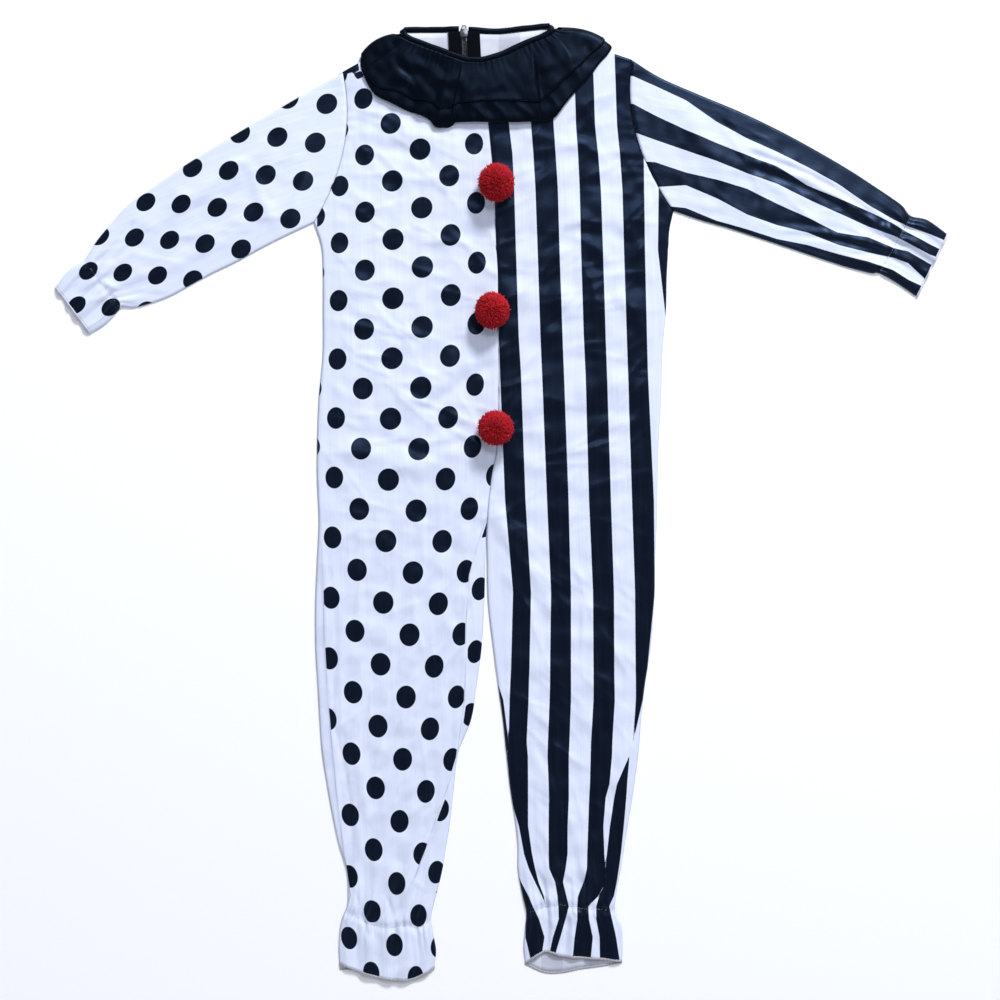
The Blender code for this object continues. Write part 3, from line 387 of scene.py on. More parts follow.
def zip_bump(x: Any, y: Any) -> Any:
    """How far the zip inside lifts the front."""
    side = 1.0 - ramp(*ZIP_SIDE, np.abs(x - zip_middle(y)))
    return (GAP + TAPE_AIR + TAPE_LIP) * side * ramp(ZIP_END_Y - ZIP_FADE, ZIP_END_Y, y)


def under_front(x: Any, y: Any) -> Any:
    """Height of the front's underside where it lies flat on the back."""
    return collar_lift(x, y, FRONT_RAMP) + zip_bump(x, y) + LAYER


def ridges(folds: Sequence[Fold], x: Array, y: Array) -> Array:
    """Sum of the folds at each place.

    Args:
        folds: the ridges and troughs.
        x, y: the places.

    Returns:
        Heights in the shape of x.
    """
    height = np.zeros_like(x)
    for fold in folds:
        run_x, run_y = fold.x1 - fold.x0, fold.y1 - fold.y0
        length = math.hypot(run_x, run_y)
        part = ((x - fold.x0) * run_x + (y - fold.y0) * run_y) / length
        bow = FOLD_BOW * length * np.sin(np.pi * np.clip(part / length, 0.0, 1.0))
        off = ((x - fold.x0) * run_y - (y - fold.y0) * run_x) / length + bow
        beyond = np.maximum(np.maximum(-part, part - length), 0.0) * FOLD_END
        height += fold.height * np.exp(-(off * off + beyond * beyond) / fold.width**2)
    return height


def drape(
    x: Array, y: Array, seed: int, size: float = 46.0, count: int = 14, smallest: float = 0.35
) -> Array:
    """Soft unevenness of thin cloth that lies loosely.

    Args:
        x, y: the places.
        seed: picks the waves.
        size: the longest wave.
        count: how many waves there are.
        smallest: the shortest wave, as a part of the longest.

    Returns:
        Heights of about -1 to 1.
    """
    draw = np.random.default_rng(seed)
    total = np.zeros_like(x)
    for _ in range(count):
        angle = draw.uniform(0.0, np.pi)
        wave = draw.uniform(smallest, 1.0) * size
        phase = draw.uniform(0.0, 2 * np.pi)
        bend = 0.8 * np.sin((x * math.sin(angle) - y * math.cos(angle)) / (wave * 0.9) + phase * 2)
        along = (x * math.cos(angle) + y * math.sin(angle)) * 2 * np.pi / wave
        total += np.sin(along + phase + bend) * (wave / size) / 4.0
    return total


@dataclass(frozen=True)
class Wrinkles:
    """Patches of sharper creases, as satin takes when it is folded and laid out again."""

    count: int = 16
    spread: float = 0.62  # radians to each side of their lean
    spacing: Pair = (34.0, 78.0)
    bow: float = 6.0  # how far each snakes, and its length for one radian
    bow_length: float = 38.0
    sharpness: int = 5
    patch: Pair = (60.0, 120.0)
    patch_turn: float = 2.6  # radians across a patch
    bare: float = 0.25  # the part of a patch that stays smooth

    def height(self, x: Array, y: Array, seed: int, lean: float) -> Array:
        """Height of the creases.

        Args:
            x, y: the places.
            seed: picks the creases.
            lean: their mean angle, in radians from level.

        Returns:
            Heights of 0 to about 1.
        """
        draw = np.random.default_rng(seed)
        total = np.zeros_like(x)
        for _ in range(self.count):
            angle = lean + draw.uniform(-self.spread, self.spread)
            wave = draw.uniform(*self.spacing)
            across = y * math.cos(angle) - x * math.sin(angle)
            along = x * math.cos(angle) + y * math.sin(angle)
            bend = self.bow * np.sin(along / self.bow_length + draw.uniform(0, 6.3))
            ridge = 1.0 - np.abs(np.sin(np.pi * (across + bend) / wave + draw.uniform(0, 3.2)))
            wide, high = draw.uniform(*self.patch, 2)
            shift_x, shift_y = draw.uniform(0, 6.3, 2)
            patch = np.sin(x / wide * self.patch_turn + shift_x)
            patch *= np.sin(y / high * self.patch_turn + shift_y)
            total += ridge**self.sharpness * np.clip(patch - self.bare, 0.0, 1.0)
        return total


WRINKLES = Wrinkles()


def beyond_collar(x: Array, y: Array) -> Array:
    """0 where the collar lies on the front and 1 away from it."""
    half_wide, middle, half_high = COLLAR_CLEAR
    reach = np.hypot((x - COLLAR_CENTRE[0]) / half_wide, (y - middle) / half_high)
    return ramp(0.97, 1.12, reach)


def round_over(distance: Array, radius: float) -> Array:
    """A quarter circle that rises from 0 at an edge to 1 at its radius."""
    return np.sqrt(1.0 - (1.0 - np.clip(distance / radius, 0, 1)) ** 2)


@dataclass(frozen=True)
class Elastic:
    """An elastic sewn inside a hem, which draws the cloth into pleats and puckers."""

    pleats: int
    puckers: int
    pleat_height: float
    pucker_height: float
    groove: float  # how deep its stitching pulls the cloth in
    pucker_length: float
    sway: tuple[float, float, float]  # how unevenly the puckers stand
    pleat_length: float = 95.0
    hem_length: float = 45.0
    groove_half: float = 3.5
    pleat_sway: float = 0.35
    bluntness: float = 0.7

    def relief(self, across: Array, distance: Array) -> Array:
        """How far the elastic raises the cloth.

        Args:
            across: 0 to 1 from one edge of the piece to the other.
            distance: from the stitching, negative toward the hem.

        Returns:
            Heights in millimetres.
        """
        shift = self.pleat_sway * np.sin(4 * np.pi * across)
        fade = 1.0 - ramp(0.0, self.pleat_length, distance)
        fade = fade - 0.25 * ramp(0.0, self.hem_length, -distance)
        wave = 0.5 - 0.5 * np.cos(2 * np.pi * self.pleats * across + shift)
        swing, turns, start = self.sway
        sway = swing * np.sin(turns * across) + start
        small = np.abs(np.sin(np.pi * self.puckers * across + sway)) ** self.bluntness
        near = np.exp(-np.abs(distance) / self.pucker_length)
        pinch = np.exp(-((distance / self.groove_half) ** 2))
        raised = self.pleat_height * fade * wave + self.pucker_height * near * small
        return raised - self.groove * pinch


ANKLE = Elastic(5, 12, 2.7, 2.4, 2.2, 24.0, (1.7, 7.0, 1.0))
WRIST = Elastic(4, 9, 2.8, 2.3, 1.9, 22.0, (1.3, 6.0, 0.6))


# Meshes


def add_mesh(
    name: str,
    points: Any,
    faces: list,
    materials: Sequence[Material],
    smooth: bool = True,
) -> Object:
    """Add an object made of faces.

    Args:
        name: the piece's name.
        points: its corners in millimetres.
        faces: each face's points in turn.
        materials: its materials.
        smooth: True shades across the faces.

    Returns:
        The new object.
    """
    mesh = bpy.data.meshes.new(name)
    mesh.from_pydata((np.asarray(points) * MM).tolist(), [], faces)
    if smooth:
        mesh.shade_smooth()
    for material in materials:
        mesh.materials.append(material)
    obj = bpy.data.objects.new(name, mesh)
    bpy.context.scene.collection.objects.link(obj)
    return obj


def from_grid(
    name: str,
    grid: Array,
    print_map: Array,
    grain: Array,
    materials: Sequence[Material],
    wrap: bool = False,
    flip: bool = False,
    tucks: Optional[Array] = None,
) -> Object:
    """A surface through a grid of points.

    Args:
        name: the piece's name.
        grid: points in millimetres, (rows, columns, 3).
        print_map: where each point lies in the printed pattern, (rows, columns, 2).
        grain: each point across and along the cloth in millimetres, (rows, columns, 2).
        materials: its materials, outer side first.
        wrap: True joins the last column to the first.
        flip: True turns the faces over.
        tucks: how far each point is beyond the folds that cut the print, (rows, columns, 3).

    Returns:
        The new object.
    """
    rows, columns = grid.shape[:2]
    index = np.arange(rows * columns).reshape(rows, columns)
    if wrap:
        index = np.concatenate([index, index[:, :1]], axis=1)
    a, b = index[:-1, :-1], index[:-1, 1:]
    c, d = index[1:, 1:], index[1:, :-1]
    order = (a, d, c, b) if flip else (a, b, c, d)
    faces = np.stack([part.ravel() for part in order], axis=1)
    obj = add_mesh(name, grid.reshape(-1, 3), faces.tolist(), materials)
    corners = faces.ravel()
    for layer, values in (("print", print_map), ("grain", grain)):
        uv = obj.data.uv_layers.new(name=layer)
        uv.data.foreach_set("uv", values.reshape(-1, 2)[corners].astype(np.float32).ravel())
    if tucks is not None:
        attribute = obj.data.attributes.new("tucks", "FLOAT_VECTOR", "POINT")
        attribute.data.foreach_set("vector", tucks.astype(np.float32).ravel())
    return obj


def apply_modifiers(obj: Object) -> None:
    """Apply all of an object's modifiers.

    Args:
        obj: the object.
    """
    bpy.ops.object.select_all(action="DESELECT")
    obj.select_set(True)
    bpy.context.view_layer.objects.active = obj
    for modifier in list(obj.modifiers):
        bpy.ops.object.modifier_apply(modifier=modifier.name)


def thicken(obj: Object, wall: float, offset: float = -1.0, inner: int = 1) -> None:
    """Give a surface its thickness.

    Args:
        obj: the surface.
        wall: thickness in millimetres.
        offset: -1 adds it behind the surface, 0 to both sides.
        inner: material slots from the outer side to the inner one.
    """
    solidify = obj.modifiers.new("wall", "SOLIDIFY")
    solidify.thickness = wall * MM
    solidify.offset = offset
    solidify.material_offset = inner
    solidify.material_offset_rim = inner
    solidify.use_even_offset = False
    apply_modifiers(obj)


def unit(v: Array) -> Array:
    """The vectors at length 1."""
    return v / np.maximum(np.linalg.norm(v, axis=-1, keepdims=True), 1e-9)


def normals_of(grid: Array) -> Array:
    """Unit normals of a grid of points."""
    return unit(np.cross(np.gradient(grid, axis=1), np.gradient(grid, axis=0)))


def arc(points: Array) -> Array:
    """Distance along a line of points, from its first."""
    steps = np.linalg.norm(np.diff(points, axis=0), axis=1)
    return np.concatenate([[0.0], np.cumsum(steps)])


def resample(points: Array, step: float) -> Array:
    """The same line with points this far apart.

    Args:
        points: the line.
        step: how far apart.

    Returns:
        The new points, (count, 3).
    """
    length = arc(points)
    count = max(int(length[-1] / step), 2)
    at = np.linspace(0.0, length[-1], count + 1)
    return np.stack([np.interp(at, length, points[:, k]) for k in range(3)], axis=1)


def tube(
    name: str,
    path: Array,
    wide: Array,
    half: Callable[[Array], tuple[Array, Array]],
    sides: int,
    material: Material,
) -> Object:
    """A tube along a path.

    Args:
        name: the piece's name.
        path: its middle line, (rings, 3).
        wide: a direction across it at each ring.
        half: gives half its width and half its height for distances along it.
        sides: points round it.
        material: its material.

    Returns:
        The new object, closed at both ends.
    """
    tangent = unit(np.gradient(path, axis=0))
    across = unit(wide - tangent * (wide * tangent).sum(1, keepdims=True))
    up = np.cross(tangent, across)
    length = arc(path)
    half_wide, half_high = half(length)
    angle = 2 * np.pi * (np.arange(sides) + 0.5) / sides
    ring = (
        path[:, None]
        + across[:, None] * (np.cos(angle)[None, :, None] * half_wide[:, None, None])
        + up[:, None] * (np.sin(angle)[None, :, None] * half_high[:, None, None])
    )
    ring = np.concatenate([np.repeat(path[:1, None], sides, 1), ring])
    ring = np.concatenate([ring, np.repeat(path[-1:, None], sides, 1)])
    length = np.concatenate([[0.0], length, length[-1:]])
    around = np.broadcast_to(angle[None] / (2 * np.pi), ring.shape[:2])
    along = np.broadcast_to(length[:, None], ring.shape[:2])
    uv = np.stack([along, around], axis=2)
    obj = from_grid(name, ring, uv, uv, [material], wrap=True)
    weld = obj.modifiers.new("ends", "WELD")
    weld.merge_threshold = 0.002 * MM
    apply_modifiers(obj)
    return obj


# Finishes


def linear(code: str) -> tuple[float, float, float, float]:
    """An sRGB hex colour as linear values with alpha 1.

    Args:
        code: the colour, such as #8E0009.

    Returns:
        Red, green, blue and alpha.
    """
    values = [int(code[i : i + 2], 16) / 255.0 for i in (1, 3, 5)]
    r, g, b = (v / 12.92 if v <= 0.04045 else ((v + 0.055) / 1.055) ** 2.4 for v in values)
    return (r, g, b, 1.0)


class Surface:
    """A material and the small function that adds its nodes."""

    def __init__(self, name: str) -> None:
        """Start an empty material.

        Args:
            name: what it is called.
        """
        self.material = bpy.data.materials.new(name)
        self.material.use_nodes = True
        self.tree = self.material.node_tree
        self.shader = self.tree.nodes["Principled BSDF"]

    def add(self, kind: str, *inputs: Any, out: Any = 0, **settings: Any) -> Socket:
        """Add a node with its settings and links.

        Args:
            kind: the node's type without ShaderNode.
            inputs: a socket or a value for each input in turn, or a dict of them.
            out: which of its outputs is wanted, by number or name.
            settings: the node's own properties.

        Returns:
            That output.
        """
        node = self.tree.nodes.new("ShaderNode" + kind)
        for key, value in settings.items():
            setattr(node, key, value)
        named = bool(inputs) and isinstance(inputs[0], dict)
        self.fill(node, inputs[0] if named else dict(enumerate(inputs)))
        return node.outputs[out]

    def fill(self, node: bpy.types.Node, inputs: dict) -> None:
        """Set or link a node's inputs.

        Args:
            node: the node.
            inputs: a socket or a value for each input's name or number.
        """
        for key, value in inputs.items():
            if isinstance(value, Socket):
                self.tree.links.new(value, node.inputs[key])
            else:
                node.inputs[key].default_value = value

    def set(self, **values: Any) -> None:
        """Set or link the shader's inputs, with _ for each space."""
        self.fill(self.shader, {key.replace("_", " "): value for key, value in values.items()})


SMOOTH = {"interpolation_type": "SMOOTHSTEP"}  # settings of a Map Range
COLOR = {"data_type": "RGBA", "out": 2}  # those of a Mix of colours 6 and 7


@dataclass(frozen=True)
class Finish:
    """What a surface is made of: its common name and how it was made."""

    name: str

    def dress(self, s: Surface) -> None:
        """Add the finish's nodes to an empty material."""
        raise NotImplementedError


@cache
def material_of(finish: Finish) -> Material:
    """The material of a finish, made once."""
    surface = Surface(finish.name)
    finish.dress(surface)
    return surface.material


class Print(Enum):
    """What is printed on the satin."""

    DOTS = "dots"
    STRIPES = "stripes"
    NONE = "none"


@dataclass(frozen=True)
class Satin(Finish):
    """Polyester satin, woven with long floats, then screen printed on one side or dyed.

    The floats give a soft bluish sheen along the grain, with a fine line from each thread
    bundle, and the ink lies a little glossier than the bare cloth.
    """

    printed: Print = Print.NONE
    ground: str = "#E0E6F8"
    shade: str = "#D7DEF2"
    ink: str = "#080B16"
    ink_light: str = "#0F1524"
    through: str = "#C3C9DC"  # the back's print, seen through the front
    # colour of the painted shade along the leg's folded edges
    fold_shade: str = "#7C84A8"
    roughness: float = 0.45
    ink_roughness: float = 0.37
    specular: float = 0.46
    gleam: str = "#86A8DC"
    sheen: float = 0.02
    grain: float = 0.45  # how far the gloss is drawn out along the floats
    ghost: bool = False
    dot_radius: float = 0.1875  # as a part of the way between two dots
    dot_edge: float = 0.0075
    ghost_radius: float = 0.20
    ghost_edge: float = 0.05
    ghost_first: Pair = (-0.1812, -0.0498)  # metres
    ghost_pitch: Pair = (0.0660, 0.0744)
    ghost_strength: float = 0.24
    # how dark the painted shade beside the folded edges gets at most
    fold_shade_strength: float = 0.55

    def dress(self, s: Surface) -> None:
        """Add the satin's nodes and those of its print.

        Args:
            s: the material.
        """
        # Thread bundles of 0.25 mm are too fine to show: drawn 1.6 mm apart
        grain = s.add("UVMap", uv_map="grain")
        bundles, slubs, grit = (
            s.add(
                "TexNoise",
                {"Vector": s.add("Mapping", {0: grain, 3: size}), "Scale": 1.0, "Detail": detail},
            )
            for size, detail in (
                ((0.62, 0.012, 1.0), 3.0),
                ((0.16, 0.010, 1.0), 2.0),
                ((0.9, 0.35, 1.0), 3.0),
            )
        )
        place = s.add("TexCoord", out="Object")
        mottle = s.add("TexNoise", {"Vector": place, "Scale": 26.0, "Detail": 3.0})
        tone = s.add("Math", bundles, slubs, operation="ADD")
        tone = s.add("Math", tone, 0.5, operation="MULTIPLY")
        part = s.add("MapRange", tone, 0.30, 0.70, **SMOOTH)
        ground = s.add("Mix", {0: part, 6: linear(self.shade), 7: linear(self.ground)}, **COLOR)
        part = s.add("MapRange", tone, 0.35, 0.75, **SMOOTH)
        ink = s.add("Mix", {0: part, 6: linear(self.ink), 7: linear(self.ink_light)}, **COLOR)
        if self.printed is Print.NONE:
            color, rough = ink, self.ink_roughness
        else:
            mask = self._stripes(s) if self.printed is Print.STRIPES else self._dots(s)
            if self.ghost:
                faint = {0: self._ghost(s), 6: ground, 7: linear(self.through)}
                ground = s.add("Mix", faint, **COLOR)
            color = s.add("Mix", {0: mask, 6: ground, 7: ink}, **COLOR)
            # Painted shade along the leg's folded edges
            if self.ghost:
                lines = {0: self._painted_fold_shade(s), 6: color, 7: linear(self.fold_shade)}
                color = s.add("Mix", lines, **COLOR)
            rough = s.add("Mix", {0: mask, 2: self.roughness, 3: self.ink_roughness})
        normal = s.add("Bump", {"Height": bundles, "Strength": 0.14, "Distance": 0.30 * MM})
        for height, strength, distance in ((grit, 0.30, 0.35), (mottle, 0.16, 1.2)):
            over = {"Strength": strength, "Distance": distance * MM, "Normal": normal}
            normal = s.add("Bump", {"Height": height, **over})
        tangent = s.add("Tangent", direction_type="UV_MAP", uv_map="grain")
        s.set(Specular_Tint=linear(self.gleam), Anisotropic=self.grain, Tangent=tangent)
        s.set(Base_Color=color, Roughness=rough, Normal=normal, IOR=1.5)
        s.set(Sheen_Weight=self.sheen, Sheen_Roughness=0.35, Specular_IOR_Level=self.specular)
        s.set(Sheen_Tint=linear("#BFD0F0"))

    def _stripes(self, s: Surface) -> Socket:
        """The stripes: the print map holds the distance to the nearest edge.

        Args:
            s: the material.

        Returns:
            1 in the black.
        """
        distance = s.add("SeparateXYZ", s.add("UVMap", uv_map="print"))
        bleed = s.add("TexNoise", {"Vector": s.add("TexCoord", out="Object"), "Scale": 700.0})
        bleed = s.add("Math", bleed, 0.5, -0.25, operation="MULTIPLY_ADD")
        distance = s.add("Math", distance, bleed, operation="ADD")
        return s.add("MapRange", distance, -0.3, 0.3, **SMOOTH)

    def _dots(self, s: Surface) -> Socket:
        """The dots: the print map counts them across and along, with one more between.

        Args:
            s: the material.

        Returns:
            1 in the dots.
        """
        across, along, _ = s.add("SeparateXYZ", s.add("UVMap", uv_map="print")).node.outputs
        tucks = s.add("Attribute", out="Vector", attribute_name="tucks")
        outer, inner, marks = s.add("SeparateXYZ", tucks).node.outputs
        beyond = s.add("Math", inner, FOLD_TUCK / 2, operation="GREATER_THAN")
        counts = [
            s.add("Math", beyond, shift, count, operation="MULTIPLY_ADD")
            for shift, count in zip(FOLD_SHIFT, (across, along))
        ]
        size = (self.dot_radius, self.dot_radius - self.dot_edge)
        dots = s.add("MapRange", self._from_dot(s, counts), *size, **SMOOTH)
        if not self.ghost:
            return dots
        kept = s.add("MapRange", outer, 0.15, -0.15, **SMOOTH)
        dots = s.add("Math", dots, kept, operation="MULTIPLY")
        side = s.add("Math", inner, FOLD_TUCK / 2, operation="SUBTRACT")
        side = s.add("Math", side, operation="ABSOLUTE")
        kept = s.add("MapRange", side, FOLD_TUCK / 2 - 0.15, FOLD_TUCK / 2 + 0.15, **SMOOTH)
        dots = s.add("Math", dots, kept, operation="MULTIPLY")
        marks = s.add("MapRange", marks, -0.3, 0.3, **SMOOTH)
        return s.add("Math", dots, marks, operation="MAXIMUM")

    def _from_dot(self, s: Surface, counts: Sequence) -> Socket:
        """Distance from the nearest dot.

        Args:
            s: the material.
            counts: where a place lies in the dots' count, across and along.

        Returns:
            The distance, as a part of the way between two dots of a row.
        """
        distances = []
        for shift in (0.5, 0.0):
            squares = []
            for count in counts:
                side = s.add("Math", count, shift, operation="ADD")
                side = s.add("Math", side, operation="FRACT")
                side = s.add("Math", side, 0.5, operation="SUBTRACT")
                squares.append(s.add("Math", side, side, operation="MULTIPLY"))
            square = s.add("Math", *squares, operation="ADD")
            distances.append(s.add("Math", square, operation="SQRT"))
        return s.add("Math", *distances, operation="MINIMUM")

    def _painted_fold_shade(self, s: Surface) -> Socket:
        """Painted shade in the narrow gap beside a folded edge, patchy along it.

        Args:
            s: the material.

        Returns:
            How dark they are.
        """
        tucks = s.add("Attribute", out="Vector", attribute_name="tucks")
        lines = []
        for side in s.add("SeparateXYZ", tucks).node.outputs[:2]:
            off = s.add("Math", side, 0.7, operation="SUBTRACT")
            off = s.add("Math", off, operation="ABSOLUTE")
            lines.append(s.add("MapRange", off, 0.9, 0.1, **SMOOTH))
        line = s.add("Math", *lines, operation="MAXIMUM")
        uneven = s.add("TexNoise", {"Vector": s.add("TexCoord", out="Object"), "Scale": 24.0})
        uneven = s.add("MapRange", uneven, 0.3, 0.65, **SMOOTH)
        uneven = s.add("Math", uneven, self.fold_shade_strength, operation="MULTIPLY")
        return s.add("Math", line, uneven, operation="MULTIPLY")

    def _ghost(self, s: Surface) -> Socket:
        """Faint dots of the back's print, seen through the thin front of the leg.

        Args:
            s: the material.

        Returns:
            How strongly they show.
        """
        places = s.add("SeparateXYZ", s.add("TexCoord", out="Object")).node.outputs
        counts = []
        for place, first, pitch in zip(places, self.ghost_first, self.ghost_pitch):
            past = s.add("Math", place, first, operation="SUBTRACT")
            counts.append(s.add("Math", past, pitch, operation="DIVIDE"))
        size = (self.ghost_radius, self.ghost_radius - self.ghost_edge)
        dots = s.add("MapRange", self._from_dot(s, counts), *size, **SMOOTH)
        leg = s.add("MapRange", places[1], 0.02, -0.05, **SMOOTH)
        dots = s.add("Math", dots, leg, operation="MULTIPLY")
        return s.add("Math", dots, self.ghost_strength, operation="MULTIPLY")


@dataclass(frozen=True)
class SatinReverse(Finish):
    """The unprinted side of the satin: matt, greyish white, with the print showing through."""

    name: str = "satin_reverse"
    color: str = "#DADCE6"
    striped: bool = False

    def dress(self, s: Surface) -> None:
        """Add its nodes.

        Args:
            s: the material.
        """
        grain = s.add("Mapping", {0: s.add("UVMap", uv_map="grain"), 3: (0.6, 0.02, 1.0)})
        threads = s.add("TexNoise", {"Vector": grain, "Scale": 1.0, "Detail": 3.0})
        cloud = s.add("TexNoise", {"Vector": s.add("TexCoord", out="Object"), "Scale": 30.0})
        cloud = s.add("MapRange", cloud, 0.3, 0.7, **SMOOTH)
        color = s.add("Mix", {0: cloud, 6: linear("#C6C8D6"), 7: linear(self.color)}, **COLOR)
        if self.striped:
            distance = s.add("SeparateXYZ", s.add("UVMap", uv_map="print"))
            through = s.add("MapRange", distance, -0.8, 0.8, **SMOOTH)
            through = s.add("Math", through, 0.3, operation="MULTIPLY")
            color = s.add("Mix", {0: through, 6: color, 7: linear("#8A8EA2")}, **COLOR)
        normal = s.add("Bump", {"Height": threads, "Strength": 0.2, "Distance": 0.3 * MM})
        s.set(Base_Color=color, Roughness=0.7, Normal=normal, Sheen_Weight=0.1)


@dataclass(frozen=True)
class ZipTape(Finish):
    """Woven polyester zip tape: matt black, with ribs along it that catch a little light."""

    name: str = "woven_zip_tape"

    def dress(self, s: Surface) -> None:
        """Add its nodes.

        Args:
            s: the material.
        """
        grain = s.add("UVMap", uv_map="grain")
        along = s.add("Mapping", {0: grain, 3: (0.5, 0.02, 1.0)})
        ribs = s.add("TexWave", {"Vector": along, "Scale": 1.0}, out=1)
        across = s.add("Mapping", {0: grain, 3: (0.3, 1.2, 1.0)})
        picks = s.add("TexNoise", {"Vector": across, "Scale": 1.0})
        color = s.add("Mix", {0: picks, 6: linear("#030305"), 7: linear("#0C0C11")}, **COLOR)
        normal = s.add("Bump", {"Height": ribs, "Strength": 0.5, "Distance": 0.25 * MM})
        fine = {"Height": picks, "Strength": 0.4, "Distance": 0.15 * MM, "Normal": normal}
        s.set(Base_Color=color, Roughness=0.85, Normal=s.add("Bump", fine))
        s.set(Specular_IOR_Level=0.15, Specular_Tint=linear("#9DB4E0"))


@dataclass(frozen=True)
class Nylon(Finish):
    """Extruded nylon monofilament of the zip's coil: smooth, near black, slightly waxy."""

    name: str = "nylon_coil"

    def dress(self, s: Surface) -> None:
        """Add its nodes.

        Args:
            s: the material.
        """
        wear = s.add("TexNoise", {"Vector": s.add("TexCoord", out="Object"), "Scale": 600.0})
        color = s.add("Mix", {0: wear, 6: linear("#060607"), 7: linear("#0F0F12")}, **COLOR)
        normal = s.add("Bump", {"Height": wear, "Strength": 0.1, "Distance": 0.05 * MM})
        s.set(Base_Color=color, Roughness=0.46, IOR=1.53, Specular_IOR_Level=0.3, Normal=normal)


@dataclass(frozen=True)
class Nickel(Finish):
    """Nickel-plated die-cast zinc: bright, with fine tumbling marks and duller patches."""

    name: str = "nickel_plated_zinc"

    def dress(self, s: Surface) -> None:
        """Add its nodes.

        Args:
            s: the material.
        """
        place = s.add("TexCoord", out="Object")
        marks = s.add("TexNoise", {"Vector": place, "Scale": 1500.0, "Detail": 4.0})
        dull = s.add("TexNoise", {"Vector": place, "Scale": 350.0})
        color = s.add("Mix", {0: dull, 6: linear("#565C66"), 7: linear("#868C96")}, **COLOR)
        rough = s.add("MapRange", dull, -0.6, 2.2, **SMOOTH)
        normal = s.add("Bump", {"Height": marks, "Strength": 0.15, "Distance": 0.05 * MM})
        s.set(Base_Color=color, Metallic=1.0, Roughness=rough, Normal=normal)


@dataclass(frozen=True)
class Yarn(Finish):
    """Cut acrylic yarn: matt fibres, deep red, darker between the tufts as painted shade towards
    each strand's root.
    """

    name: str = "red_acrylic_yarn"

    def dress(self, s: Surface) -> None:
        """Add its nodes.

        Args:
            s: the material.
        """
        place = s.add("TexCoord", out="Object")
        fibres = s.add("TexNoise", {"Vector": place, "Scale": 1400.0, "Detail": 4.0})
        level = s.add("Math", fibres, 0.5, -0.25, operation="MULTIPLY_ADD")
        # tone holds each strand's own random tone times a painted shade that darkens it towards
        # its root
        tone = s.add("Attribute", out="Fac", attribute_name="tone")
        level = s.add("Math", tone, level, operation="ADD")
        level = s.add("MapRange", level, 0.0, 1.0, **SMOOTH)
        color = s.add("Mix", {0: level, 6: linear("#8E0009"), 7: linear("#DA0F26")}, **COLOR)
        normal = s.add("Bump", {"Height": fibres, "Strength": 0.5, "Distance": 0.3 * MM})
        s.set(Base_Color=color, Roughness=0.9, Normal=normal)
        s.set(Sheen_Weight=0.35, Sheen_Roughness=0.4, Sheen_Tint=linear("#FF6070"))


@dataclass(frozen=True)
class Thread(Finish):
    """Spun polyester thread: matt, with its twist and loops showing as fine bars, lighter on each
    loop and darker between them as painted shade.
    """

    light: str = "#C9C6CC"
    dark: str = "#8C8A94"
    pitch: float = 1.7  # mm between loops; real ones are about 1 mm

    def dress(self, s: Surface) -> None:
        """Add its nodes.

        Args:
            s: the material.
        """
        bars = (1.0 / self.pitch, 0.7, 1.0)
        bars = s.add("Mapping", {0: s.add("UVMap", uv_map="print"), 3: bars})
        loops = s.add("TexWave", {"Vector": bars, "Scale": 0.32}, out=1, wave_type="BANDS")
        fuzz = s.add("TexNoise", {"Vector": s.add("TexCoord", out="Object"), "Scale": 900.0})
        fuzz = s.add("Math", fuzz, 0.35, operation="MULTIPLY")
        level = s.add("Math", loops, 0.75, fuzz, operation="MULTIPLY_ADD")
        part = s.add("MapRange", level, 0.2, 0.9, **SMOOTH)
        # Painted shade: the colour follows the loops' bump, darker between the loops
        color = s.add("Mix", {0: part, 6: linear(self.dark), 7: linear(self.light)}, **COLOR)
        normal = s.add("Bump", {"Height": level, "Strength": 0.6, "Distance": 0.4 * MM})
        s.set(Base_Color=color, Roughness=0.85, Normal=normal)
        s.set(Specular_IOR_Level=0.2, Specular_Tint=linear("#9DB4E0"))


DOTTED = Satin("printed_satin_dots", Print.DOTS, ghost=True)
DOTTED_PLAIN = Satin("printed_satin_dots_sleeve", Print.DOTS)
STRIPED = Satin("printed_satin_stripes", Print.STRIPES)
BLACK = Satin(
    "dyed_satin_black", ink="#03050B", ink_light="#070A13", ink_roughness=0.40, specular=0.17
)
REVERSE = SatinReverse()
STRIPED_REVERSE = SatinReverse("striped_satin_reverse", striped=True)
OVERLOCK = Thread("overlock_thread_grey")
WHITE_OVERLOCK = Thread("overlock_thread_white", "#DFE0EE", "#B9BBCD")
BLACK_OVERLOCK = Thread("overlock_thread_black", "#090D16", "#030408")
STITCH = Thread("elastic_stitch_thread", "#B9B3AC", "#8F8A86", 3.0)
TOPSTITCH = Thread("binding_stitch_thread", "#333846", "#161922", 3.0)


# Prints


class StripeRow(NamedTuple):
    """Where the edges of the stripes lie across them, at one place along them."""

    along: float
    edges: tuple[float, ...]


